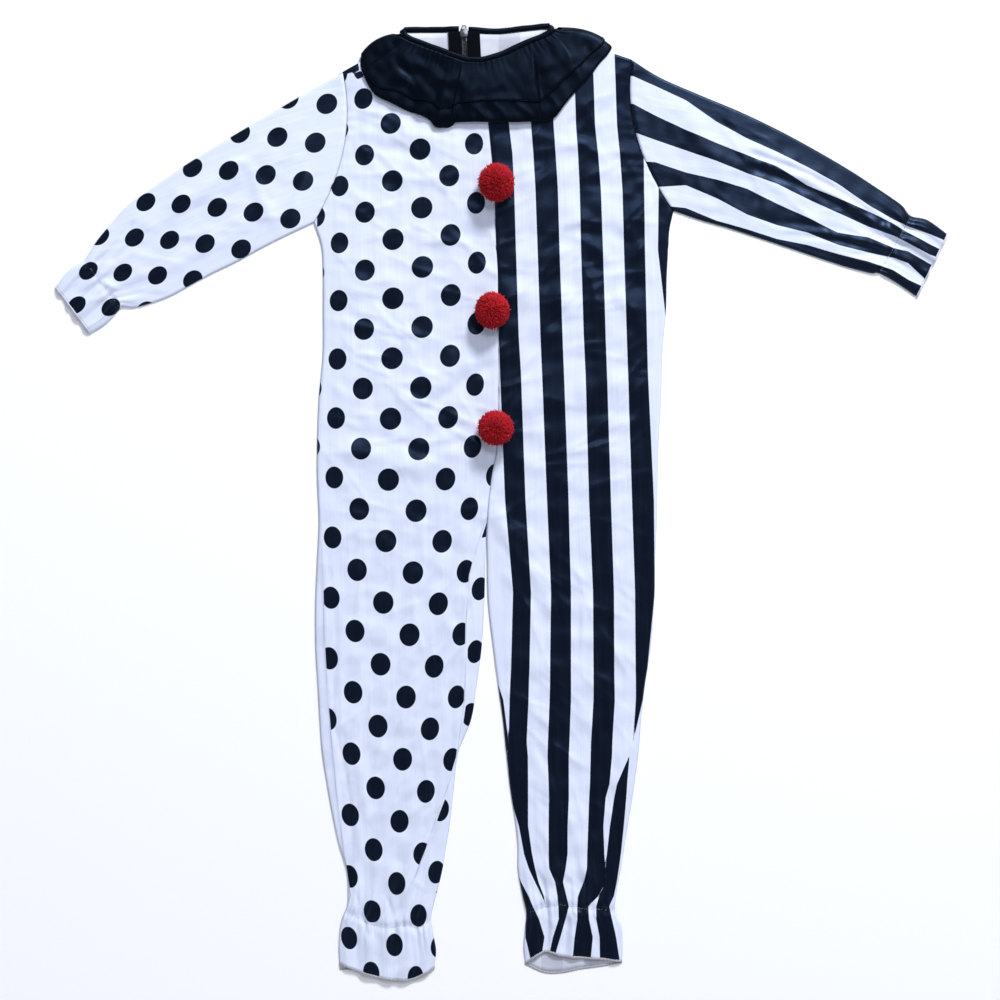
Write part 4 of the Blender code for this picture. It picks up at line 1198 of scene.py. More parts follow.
# On the right front at y, from the centre to the side. Each pair of x is one black stripe, and
# a pair without width is a stripe that is folded away there.
BODY_STRIPES = rows_of(
    StripeRow,
    (560, (-40, -40, -21.6, 4.8, 31.2, 58.2, 85, 108, 134, 158.5, 184, 200)),
    (451.8, (-40, -40, -18, 8.4, 34.8, 61.9, 88.8, 111.6, 138, 167, 187, 205)),
    (417, (-40, -40, -14, 12.6, 37.6, 64.4, 91.2, 115.4, 141.4, 170.2, 187.4, 210)),
    (376, (-40, -40, -10, 14.6, 40, 67, 93.2, 118.6, 144.4, 170.6, 188, 212)),
    (301.8, (-40, -40, -7.9, 16.8, 42.7, 69.1, 94.8, 121.2, 146.4, 171.6, 187.2, 199.2)),
    (200, (-40, -40, -4, 20, 46, 72.6, 98, 124.4, 149.6, 174, 199, 200)),
    (154.2, (-40, -40, -2.4, 22.8, 48, 74.4, 100.2, 126, 151.2, 175.2, 201, 202)),
    (1.8, (-40, -40, 3.6, 28.2, 54, 79.9, 104.4, 130.8, 156, 182.4, 205, 206)),
    (-108.6, (-40, -40, 13.2, 34.8, 58.8, 82.8, 109.2, 134.4, 159.6, 183.6, 205, 206)),
    (-201, (-16, -16, 10.8, 33, 57.6, 82.8, 109.8, 134.8, 160.4, 174.6, 200, 201)),
    (-216, (-6, -6, 10, 32.4, 57.6, 82.8, 109.8, 135, 160.6, 172, 200, 201)),
    (-238.2, (-4.3, 1.6, 9.1, 31.9, 57.1, 82.8, 109.8, 135.4, 160.7, 169.1, 200, 201)),
    (-288.6, (2.4, 7.9, 8, 29.6, 55.1, 81, 106.8, 132.5, 157.2, 157.3, 200, 201)),
    (-305.4, (5.9, 5.9, 6, 31.1, 54.6, 80.2, 106.4, 132, 152.6, 153, 200, 201)),
    (-339, (6, 6, 8.9, 31.3, 55.9, 80.2, 105.5, 129, 137.9, 150.2, 200, 201)),
    (-355.8, (4, 4, 9.9, 31.3, 56.3, 80.2, 104.6, 124.4, 134.5, 149.2, 200, 201)),
    (-389.4, (6, 6, 20.2, 31.3, 55.9, 78.7, 103.4, 121.6, 129.5, 146.3, 200, 201)),
    (-423, (14, 14, 26.4, 36, 55.9, 78.7, 102.2, 122.8, 125.8, 142.8, 200, 201)),
    (-439.8, (16, 16, 31.9, 39.6, 56.3, 76.4, 101.8, 124, 124.1, 140.4, 200, 201)),
    (-456.6, (18, 22.8, 39.5, 43.7, 63.8, 73.1, 98, 124, 124.1, 137.9, 200, 201)),
    (-473.4, (24, 31.9, 47.9, 50.4, 66.4, 77.3, 91.2, 116, 116.8, 134.4, 200, 201)),
    (-485.4, (26, 37, 52, 52, 67.6, 80.2, 90.2, 103.4, 113, 128.6, 200, 201)),
    (-501, (28, 44.4, 54, 54, 68, 76.4, 90.2, 104.3, 113, 132, 200, 201)),
    (-523, (28, 51, 54, 54, 61, 70, 87, 109, 117, 137, 200, 201)),
    (-556, (36, 46, 52, 52, 54, 60, 84, 105.6, 117.6, 142, 200, 201)),
)
# On the right sleeve at x, y from the top down: black above the first
SLEEVE_STRIPES = rows_of(
    StripeRow,
    (156.8, (510.7, 477.8, 443.9, 409.6, 377.4, 353)),
    (184.2, (498.7, 463.2, 434, 407.3, 377.4, 356)),
    (220.7, (481.6, 446, 421.2, 394.9, 379.6, 352.4)),
    (257.3, (455.9, 430.3, 408.4, 386.5, 364, 337.2)),
    (293.8, (435.8, 415.7, 393.8, 375.5, 344.4, 327)),
    (330.4, (419.4, 401.9, 381, 357.2, 331.7, 315.2)),
    (366.8, (401.2, 379.2, 362.8, 340.8, 322.6, 307.9)),
    (403.4, (381, 363.8, 346.3, 322.6, 307.9, 297)),
    (439.9, (355.4, 348.1, 329.9, 316.8, 298.8, 287.8)),
    (469.2, (338.5, 333.5, 318.8, 304.2, 292.5, 277.5)),
    (487.4, (330, 322.6, 309.7, 300.6, 285.6, 266)),
    (513, (320.8, 309, 296, 285.6, 262, 254.5)),
    (535, (311.5, 298, 288, 275, 250, 243)),
)


class LatticeTerm(NamedTuple):
    """A term x**px * y**py of how the dots are counted, with x and y in units of 300 mm."""

    px: int
    py: int
    across: float
    along: float


BODY_DOTS = rows_of(
    LatticeTerm,
    (0, 0, 3.2297, 2.4380), (0, 1, -0.3710, -4.0323), (0, 2, 0.1620, -0.0297),
    (0, 3, 0.0228, -0.0198), (1, 0, 6.2415, 0.5320), (1, 1, -0.6544, -0.1209),
    (1, 2, 0.2363, 0.0624), (2, 0, 4.7885, 0.9186), (2, 1, -0.4755, -0.4723),
    (3, 0, 3.9092, 0.3120),
)
SLEEVE_DOTS = (
    LatticeTerm(0, 0, 3.2724, 7.6216),
    LatticeTerm(0, 1, 1.0740, -4.1627),
    LatticeTerm(0, 2, 0.2229, 0.2032),
    LatticeTerm(1, 0, 4.5626, 0.7122),
    LatticeTerm(1, 1, -0.5424, 0.6102),
    LatticeTerm(2, 0, 0.0975, -0.6750),
)
STRIPE = 25.6  # width of a stripe
BEYOND_SLEEVE = 90.0  # past the sleeve's edges, for its outermost stripes
SLEEVE_SLOPE = 0.89  # a step along y, taken square to the sleeve's stripes
# Folds of the left leg that tuck cloth, and so its print, away
OUTER_FOLD = (
    (60, -222), (37.8, -220.8), (-40.2, -216), (-172.2, -212.4), (-250.2, -207.6),
    (-361.8, -196.8), (-437.4, -187.2), (-472.2, -181.2), (-500, -190), (-560, -230),
)
INNER_FOLD = (
    (-12, 0), (-18.6, -19.2), (-47.4, -28.8), (-88.2, -39.6), (-142.2, -43.8), (-190.2, -44.4),
    (-238.2, -45.6), (-306.6, -55.2), (-346.2, -67.2), (-377.4, -79.2), (-415.8, -91.2),
    (-454.2, -106.8), (-466, -90), (-474, -50),
)
# Black shapes of the back's print that come over the left shoulder, corners in turn
SHOULDER_MARKS = (
    ((-193.4, 522.0), (-192.1, 510.7), (-171.0, 517.8), (-173.6, 530.0)),
    ((-178.4, 513.0), (-173.6, 505.9), (-165.0, 509.8), (-169.0, 516.8)),
)
TURN_X = -17.0  # the dots' last place before the cloth turns under at the centre seam
TURN_KEEP = 0.12  # how much of the print's way is left beyond it
TURN_START = (45.0, 60.0)  # y from which it turns under
FOLD_TUCK = 3.0  # width of cloth without print just beyond the inner fold
FOLD_SHIFT = (0.66, 0.70)  # how far the print is moved beyond it, in dots
INNER_START_Y = -12.0  # the inner fold starts below this
PRINT_REACH = 6.0  # stripe distances are kept up to this
TUCK_REACH = 9.0  # and those to a fold up to this
LATTICE_UNIT = 300.0


def lattice(terms: Sequence[LatticeTerm], x: Array, y: Array) -> Array:
    """Where places lie in the dots' count.

    Args:
        terms: how the count runs over the cloth.
        x, y: the places.

    Returns:
        The count across and along, one more axis than x.
    """
    x, y = x / LATTICE_UNIT, y / LATTICE_UNIT
    across = sum(t.across * x**t.px * y**t.py for t in terms)
    along = sum(t.along * x**t.px * y**t.py for t in terms)
    return np.stack([across, along], axis=-1)


def edge_distance(place: Array, edges: Array) -> Array:
    """Distance from the nearest stripe edge, positive in black.

    Args:
        place: positions across the stripes.
        edges: the black stripes' starts and ends by turns, with a last axis for them.

    Returns:
        Millimetres, at most PRINT_REACH either way.
    """
    inside = np.full(place.shape, -PRINT_REACH)
    for k in range(0, edges.shape[-1], 2):
        middle = (edges[..., k] + edges[..., k + 1]) / 2
        half = (edges[..., k + 1] - edges[..., k]) / 2
        inside = np.maximum(inside, half - np.abs(place - middle))
    return np.clip(inside, -PRINT_REACH, PRINT_REACH)


def as_map(distance: Array) -> Array:
    """The print map of stripes: the distance to the nearest edge, and nothing."""
    return np.stack([distance, np.zeros_like(distance)], axis=-1)


def edges_at(rows: Sequence[StripeRow], along: Array) -> list[Array]:
    """Where each edge of the stripes lies, at places along them."""
    places, *edges = np.array(sorted((row.along, *row.edges) for row in rows)).T
    return [np.interp(along, places, edge) for edge in edges]


def body_stripes(x: Array, y: Array) -> Array:
    """The print map of the right front."""
    edges = np.stack(edges_at(BODY_STRIPES, y), axis=-1)
    return as_map(edge_distance(x, edges))


def even_stripes(place: Array) -> Array:
    """Plain stripes, black from 0 to one stripe.

    Args:
        place: millimetres across them.

    Returns:
        Their print map.
    """
    turn = np.mod(place, 2 * STRIPE)
    black = np.minimum(turn, STRIPE - turn)
    white = -np.minimum(turn - STRIPE, 2 * STRIPE - turn)
    return as_map(np.clip(np.where(turn < STRIPE, black, white), -PRINT_REACH, PRINT_REACH))


def sleeve_stripes(x: Array, y: Array) -> Array:
    """The stripes of the right sleeve's front.

    Args:
        x, y: the places.

    Returns:
        Their print map.
    """
    first, second, third, fourth, fifth, sixth = edges_at(SLEEVE_STRIPES, x)
    top, bottom = first + BEYOND_SLEEVE, sixth - BEYOND_SLEEVE
    edges = np.stack([first, top, third, second, fifth, fourth, bottom, sixth], axis=-1)
    return as_map(edge_distance(y, edges) * SLEEVE_SLOPE)


# Pieces


def seat(
    piece: Object,
    nodes: Sequence[str] = (),
    body: str = BODY,
) -> Object:
    """Put a piece on its body and hide the CAD nodes that it stands for.

    Args:
        piece: the object.
        nodes: CAD nodes that it stands for.
        body: the body that it rides on.

    Returns:
        The same object.
    """
    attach(piece, body)
    if nodes:
        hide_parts(*nodes)
    log.info("%s: %d faces", piece.name, len(piece.data.polygons))
    return piece


# The elastic's stitching across each ankle: fractions from side to middle, and y
LEFT_CINCH = ((0, 0.17, 0.3, 0.5, 0.72, 0.86, 1), (-492, -499, -506, -511, -509, -511, -502))
RIGHT_CINCH = ((0, 0.2, 0.4, 0.6, 0.8, 1), (-491, -489.5, -488, -484, -487, -494.5))


@dataclass
class ClothPanel:
    """A front or back panel, trunk and leg in one."""

    hand: Hand
    face: Face
    columns: int
    row_step: float
    zip_open: float = 3.0  # half the back's opening beside the zip
    zip_start_y: float = 271.0
    hem_rise: float = 44.0  # how far above a hem its dips begin
    leg_ramp: Pair = (-90.0, 30.0)  # y where the leg turns to trunk
    creases: float = 1.6
    drapes: float = 0.8
    wrinkles: float = 1.8
    lean: Pair = (0.42, -1.05)  # of wrinkles, on the trunk and on the leg
    edge_relief: float = 0.25  # how much of the relief is left at the edges
    roll: float = 1.7  # height of the cloth that rolls over the leg's folds
    arm_pucker: float = 0.6
    seam_pucker: float = 0.12
    seam_valley: Pair = (0.75, 2.4)  # depth and half width
    arm_valley: Pair = (0.7, 2.2)
    turn: float = 4.0  # radius of the turned edges
    turn_low: float = 1.15

    def __post_init__(self) -> None:
        """Pick the tables of this half."""
        left = self.hand is Hand.LEFT
        self.sections = LEFT_SECTIONS if left else RIGHT_SECTIONS
        self.armhole = LEFT_ARMHOLE if left else RIGHT_ARMHOLE
        self.neck_side = LEFT_NECK_SIDE if left else RIGHT_NECK_SIDE
        self.hem = LEFT_HEM if left else RIGHT_HEM
        self.outward = -1.0 if left else 1.0
        self.side_line = np.array([(s.y, s.side, s.middle) for s in self.sections])[::-1]

    def side(self, y: Any) -> Array:
        """x of the side edge at y."""
        return smooth(self.side_line[:, 0], self.side_line[:, 1], y)

    def middle(self, y: Any) -> Array:
        """Line of the centre seam and inner leg.

        Args:
            y: the levels.

        Returns:
            Its x at each.
        """
        y = np.asarray(y, float)
        inner = smooth(self.side_line[:, 0], self.side_line[:, 2], y) + self.outward * SEAM
        if self.face is Face.BACK:
            opening = np.where(y > self.zip_start_y, self.zip_open, SEAM)
            return np.where(y < CROTCH[1], inner, zip_middle(y) + self.outward * opening)
        first = self.sections[0]
        up = first.middle + (NECK_MIDDLE_X - first.middle) * ramp(first.y, NECK_START_Y, y)
        left = np.array([(s.y, s.middle) for s in LEFT_SECTIONS])[::-1]
        shared = smooth(left[:, 0], left[:, 1], y)
        shared = np.where(y > LEFT_SECTIONS[0].y, up, shared) + self.outward * SEAM
        return np.where(y < CROTCH[1], inner, shared)

    def tuck_distances(self, x: Array, y: Array) -> Array:
        """How far places are beyond the left leg's outer and inner folds, and in the marks.

        Args:
            x, y: the places.

        Returns:
            (…, 3) distances in millimetres, at most TUCK_REACH either way.
        """
        outer, inner = (np.array(line)[::-1] for line in (OUTER_FOLD, INNER_FOLD))
        before = np.interp(y, outer[:, 0], outer[:, 1]) - x
        after = x - np.interp(y, inner[:, 0], inner[:, 1])
        after = np.where(y > INNER_START_Y, -TUCK_REACH, after)
        marks = np.full(x.shape, -TUCK_REACH)
        for corners in SHOULDER_MARKS:
            inside = np.full(x.shape, TUCK_REACH)
            for (x0, y0), (x1, y1) in zip(corners, corners[1:] + corners[:1]):
                cross = (x1 - x0) * (y - y0) - (y1 - y0) * (x - x0)
                inside = np.minimum(inside, cross / math.hypot(x1 - x0, y1 - y0))
            marks = np.maximum(marks, inside)
        return np.clip(np.stack([before, after, marks], axis=-1), -TUCK_REACH, TUCK_REACH)

    def armhole_line(self, t: Array) -> Array:
        """Points of the armhole seam, t from its top to the underarm."""
        top, under, bulge = self.armhole
        x = top[0] + (under[0] - top[0]) * t + bulge * 4 * t * (1 - t) - self.outward * SEAM
        return np.stack([x, top[1] + (under[1] - top[1]) * t], axis=-1)

    def plan(self) -> Array:
        """The panel's points in plan.

        Returns:
            (rows, columns, 2), from the shoulder down to the hem and from side to middle.
        """
        u = np.linspace(0.0, 1.0, self.columns + 1)
        curve = np.array(NECK_FRONT if self.face is Face.FRONT else NECK_BACK)

        def neck_y(x: Any) -> Any:
            """y of the panel's neck edge at x."""
            return np.interp(x, curve[:, 0], curve[:, 1]) - NECK_DROP

        centre_x = float(self.middle(neck_y(self.middle(NECK_LEVEL))))
        corner = np.array(self.neck_side)
        start = self.armhole_line(np.zeros(1))[0]
        neck_x = corner[0] + (centre_x - corner[0]) * (2 * u - 1)
        shoulder = start + (corner - start) * (2 * u[:, None])
        neck = np.stack([neck_x, neck_y(neck_x)], axis=1)
        top = np.where(u[:, None] <= 0.5, shoulder, neck)
        first_y = self.sections[0].y
        v = np.linspace(0.0, 1.0, int((top[-1, 1] - first_y) / self.row_step) + 1)[:, None, None]
        side = self.armhole_line(v[:, 0, 0])[:, None]
        centre_y = top[-1, 1] + (first_y - top[-1, 1]) * v[:, 0, 0]
        centre = np.stack([self.middle(centre_y), centre_y], axis=1)[:, None]
        w = u[None, :, None]
        low = side[-1:] * (1 - w) + centre[-1:] * w
        corners = (top[:1] * (1 - w) + top[-1:] * w) * (1 - v) + low * v
        yoke = side * (1 - w) + centre * w + top[None] * (1 - v) + low * v - corners
        last_y = self.sections[-1].y
        count = int((first_y - last_y) / self.row_step)
        level = np.linspace(first_y, last_y, count + 1)[1:, None]
        x = self.side(level) * (1 - u) + self.middle(level) * u
        kind = 1 if self.face is Face.FRONT else 2
        dips = smooth([h.fraction for h in self.hem], [h[kind] for h in self.hem], u)
        y = level - dips * ramp(last_y + self.hem_rise, last_y, level)
        return np.concatenate([yoke, np.stack([x, y], axis=2)])

    def cinch(self, u: Array) -> Array:
        """y of the elastic's stitching across the ankle."""
        across, levels = LEFT_CINCH if self.hand is Hand.LEFT else RIGHT_CINCH
        return smooth(across, levels, u)

    def past_armhole(self, x: Array, y: Array) -> Array:
        """How far places are past the armhole's seam.

        Args:
            x, y: the places.

        Returns:
            Millimetres, negative on the panel.
        """
        top, under = self.armhole.top[1], self.armhole.underarm[1]
        seam = self.armhole_line(np.clip((top - y) / (top - under), 0, 1))
        return self.outward * (x - seam[..., 0])

    def front_height(self, u: Array, x: Array, y: Array) -> Array:
        """Height of the front's upper side.

        Args:
            u: fraction from side to middle.
            x, y: the places.

        Returns:
            Heights in millimetres.
        """
        width = np.abs(self.middle(y) - self.side(np.minimum(y, self.sections[0].y)))
        edge, inner = u * width, (1.0 - u) * width
        leg = 1.0 - ramp(*self.leg_ramp, y)
        trunk = 1.0 - leg
        rise = ramp(0.0, PUFF_RISE, edge)
        rise = rise * (1.0 + (ramp(0.0, PUFF_RISE, inner) - 1.0) * leg)
        clear = beyond_collar(x, y)
        seed = 3 if self.hand is Hand.LEFT else 4
        own = self.creases * ridges(CREASES, x, y) + self.drapes * drape(x, y, seed)
        level = WRINKLES.height(x, y, seed + 20, self.lean[0] * self.outward)
        steep = WRINKLES.height(x, y, seed + 40, self.lean[1] * self.outward)
        own += self.wrinkles * (level + (steep - level) * leg)
        shared = SHARED_FOLDS * np.minimum(ridges(FOLDS, x, y), MOST_RISE)
        inside = self.edge_relief + (1.0 - self.edge_relief) * rise
        relief = PUFF * rise + (shared + own * clear) * inside
        relief += ANKLE.relief(u, y - self.cinch(u))
        if self.hand is Hand.LEFT:
            beyond = self.tuck_distances(x, y)[..., :2]
            rolls = np.exp(np.minimum(beyond, 0.0) / 3.0) * (1.0 - ramp(-0.6, 1.8, beyond))
            relief += self.roll * rolls.sum(axis=-1) * leg
        relief = np.maximum(relief, 0.15)
        past = self.past_armhole(x, y)
        above = y > self.armhole.underarm[1]
        near = np.exp(past / 13.0) * above * (past < 1.0)
        uneven = 0.6 + 0.4 * np.sin(y / 21.0 + self.outward)
        puckers = np.sin(y / 2.3 + 1.9 * np.sin(y / 9.0)) * clear
        relief += self.arm_pucker * uneven * near * puckers
        puckers = np.sin(y / 2.6 + np.sin(y / 23.0)) * trunk
        relief += self.seam_pucker * np.exp(-inner / 5.0) * puckers
        deep, half = self.seam_valley
        valley = deep * np.exp(-((inner / half) ** 2)) * trunk
        deep, half = self.arm_valley
        valley += deep * np.exp(-((np.minimum(past, 0.0) / half) ** 2)) * above
        turned = (1.0 - round_over(edge, self.turn)) * ~above
        turned = np.maximum(turned, (1.0 - round_over(inner, self.turn)) * leg)
        low = LAYER + WALL - self.turn_low
        height = under_front(x, y) + relief + WALL - valley
        return height + (low - height) * turned * 0.9

    def build(self, name: str, slot: str, cut: tuple) -> Object:
        """Make the panel.

        Args:
            name: the piece's name, its node's too.
            slot: not used.
            cut: flat width, length and area in metres; not used.

        Returns:
            The panel.
        """
        plan = self.plan()
        x, y = plan[..., 0], plan[..., 1]
        u = np.broadcast_to(np.linspace(0, 1, self.columns + 1), x.shape)
        left = self.hand is Hand.LEFT
        if self.face is Face.FRONT:
            z = self.front_height(u, x, y)
            # Beside the centre seam the cloth turns under, so no dot of the last row shows
            turned = TURN_X + TURN_KEEP * (x - TURN_X)
            shown = np.where(x > TURN_X, x + (turned - x) * ramp(*TURN_START, y), x)
            picture = lattice(BODY_DOTS, shown, y) if left else body_stripes(x, y)
        else:
            z = under_back(x, y)
            z[y < self.sections[0].y] = 0.0
            picture = lattice(BODY_DOTS, x, y) + (0.3, 0.2) if left else even_stripes(x + 4.0)
        self.grid = np.stack([x, y, z], axis=2)
        grain = np.stack([x + 0.03 * y, y], axis=2)
        up = self.face is Face.FRONT
        finish = (DOTTED if up else DOTTED_PLAIN) if left else STRIPED
        satins = [material_of(finish), material_of(REVERSE if left else STRIPED_REVERSE)]
        tucks = self.tuck_distances(x, y) if left and up else None
        panel = from_grid(name, self.grid, picture, grain, satins, flip=left == up, tucks=tucks)
        thicken(panel, SHELL)
        seat(panel, [name])
        return panel


@dataclass
class Sleeve:
    """A sleeve: one piece of cloth, folded over at the top and joined under the arm."""

    cuts: Sequence[Cut]
    armhole: Armhole
    seed: int
    across: int = 58
    samples: int = 200
    row_step: float = 3.0
    row_length: float = 18.0  # mm from one row of the table to the next near the cuff
    cuff_row: float = 10.0
    edge: float = 3.0  # radius of the folded edges
    creases: float = 1.8
    drapes: float = 0.8
    wrinkles: float = 1.4
    lean: float = 0.55 / 19.0
    edge_relief: float = 0.2
    head_pucker: float = 0.5
    seam_valley: Pair = (0.7, 0.05)  # depth, and half width in rows

    def lines(self, row: Array) -> tuple[Array, Array]:
        """Top fold and underarm edge at rows of the table."""
        table = np.array([(*self.armhole.top, *self.armhole.underarm), *self.cuts], float)
        at = [smooth(np.arange(len(table)), table[:, k], row) for k in range(4)]
        return np.stack(at[:2], axis=-1), np.stack(at[2:], axis=-1)

    def surface(self, row: Array, t: Array) -> tuple[Array, Array]:
        """Points of the sleeve in plan and the height of its upper side.

        Args:
            row: rows of the table.
            t: 0 at the underarm edge and 1 at the top fold.

        Returns:
            (…, 2) places and heights.
        """
        top, under = self.lines(row)
        outward = 1.0 if self.armhole.bulge < 0 else -1.0
        fade = np.maximum(1.0 - row / 3.0, 0.0) ** 1.5
        place = under + (top - under) * t[..., None]
        place[..., 0] += self.armhole.bulge * 4 * t * (1 - t) * fade
        place[..., 0] += outward * SEAM * (row < 0.01)
        x, y = place[..., 0], place[..., 1]
        width = np.linalg.norm(top - under, axis=-1)
        near = np.minimum(t, 1 - t) * width
        rise = ramp(0.0, PUFF_RISE, near) * ramp(0.0, 2.0, row)
        relief = PUFF * rise + WRIST.relief(t, self.row_length * (self.cuff_row - row))
        relief += SHARED_FOLDS * np.minimum(ridges(FOLDS, x, y), MOST_RISE) * rise
        own = self.creases * ridges(CREASES, x, y) + self.drapes * drape(x, y, self.seed)
        lean = self.lean * self.armhole.bulge
        own += self.wrinkles * WRINKLES.height(x, y, self.seed + 20, lean)
        relief += own * (self.edge_relief + (1.0 - self.edge_relief) * rise)
        puckers = 0.5 + 0.5 * np.sin(y / 2.0 + np.sin(y / 11.0))
        relief += self.head_pucker * np.exp(-row / 0.35) * puckers
        relief = np.maximum(relief, 0.1)
        deep, half = self.seam_valley
        valley = deep * np.exp(-((row / half) ** 2))
        return place, under_front(x, y) + relief + WALL - valley

    def build(
        self,
        name: str,
        slot: str,
        satin: Satin,
        terms: Optional[Sequence[LatticeTerm]],
        cut: tuple,
    ) -> Object:
        """Make the sleeve as a flattened tube.

        Args:
            name: the piece's name, its node's too.
            slot: not used.
            satin: its finish.
            terms: the dots' count, or None for stripes.
            cut: flat width, length and area in metres; not used.

        Returns:
            The sleeve.
        """
        fine = np.linspace(0, len(self.cuts), self.samples)
        top, under = self.lines(fine)
        length = arc((top + under) / 2)
        count = int(length[-1] / self.row_step)
        row = np.interp(np.linspace(0, length[-1], count + 1), length, fine)
        even = np.linspace(0, 1, self.across + 1)
        t = 0.62 * even + 0.38 * (0.5 - 0.5 * np.cos(np.pi * even))
        rows, ts = np.meshgrid(row, t, indexing="ij")
        place, high = self.surface(rows, ts)
        top, under = self.lines(rows)
        width = np.linalg.norm(top - under, axis=-1)
        near = np.minimum(ts, 1 - ts) * width
        bend = round_over(near, self.edge)
        level = WALL + GAP / 2
        front = np.dstack([place, level + (high - level) * bend])
        back = np.dstack([place, level * (1.0 - bend)])[:, -2:0:-1]
        self.grid = np.concatenate([front, back], axis=1)
        picture = self._picture(place, top, terms)
        around = np.concatenate([ts * width, ((2 - ts) * width)[:, -2:0:-1]], axis=1)
        down = np.broadcast_to(self.row_length * rows[:, :1], around.shape)
        grain = np.stack([around, down], axis=2)
        satins = [material_of(satin), material_of(STRIPED_REVERSE if terms is None else REVERSE)]
        flip = self.armhole.bulge < 0
        sleeve = from_grid(name, self.grid, picture, grain, satins, wrap=True, flip=flip)
        thicken(sleeve, SHELL)
        seat(sleeve, [name])
        return sleeve

    def _picture(self, place: Array, top: Array, terms: Optional[Sequence]) -> Array:
        """The print of front and back, which runs on over the top fold.

        Args:
            place: places of the front.
            top: the top fold beside each.
            terms: the dots' count, or None for stripes.

        Returns:
            The print map round the sleeve.
        """
        if terms is None:
            front = sleeve_stripes(place[..., 0], place[..., 1])
            down = np.linalg.norm(place - top, axis=-1)
            back = even_stripes(down + 10.0)
        else:
            front = lattice(terms, place[..., 0], place[..., 1])
            back = 2 * lattice(terms, top[..., 0], top[..., 1]) - front
        return np.concatenate([front, back[:, -2:0:-1]], axis=1)


class Pleat(NamedTuple):
    """A folded edge across the collar: its rows at neck and hem, height and raised side."""

    neck_row: float
    hem_row: float
    height: float
    side: float
    reach: float


PLEATS = (
    Pleat(7.3, 6.9, 1.8, 1.0, 2.6),
    Pleat(14.6, 14.4, 3.2, 1.0, 3.6),
    Pleat(22.6, 20.3, 3.2, -1.0, 3.0),
    Pleat(25.8, 24.4, 0.9, -1.0, 1.6),
)
COLLAR_CREASES = rows_of(
    Fold,
    (-120, 508, -96, 494, 6, 1.5), (-122, 520, -104, 500, 4, -1), (-112, 528, -78, 510, 7, 1.2),
    (-92, 500, -66, 506, 6, 1), (-52, 500, -30, 512, 7, 1.1), (-40, 486, -6, 500, 8, 1),
    (0, 520, 24, 496, 7, 1.1), (-20, 478, 14, 482, 6, 0.9), (50, 520, 84, 530, 7, 1.2),
    (62, 500, 96, 518, 6, 1), (-30, 470, -18, 458, 4, 1.2), (-6, 472, 6, 460, 4, 1.1),
    (20, 474, 34, 462, 4, 1.1), (56, 486, 66, 474, 4, 1),
)


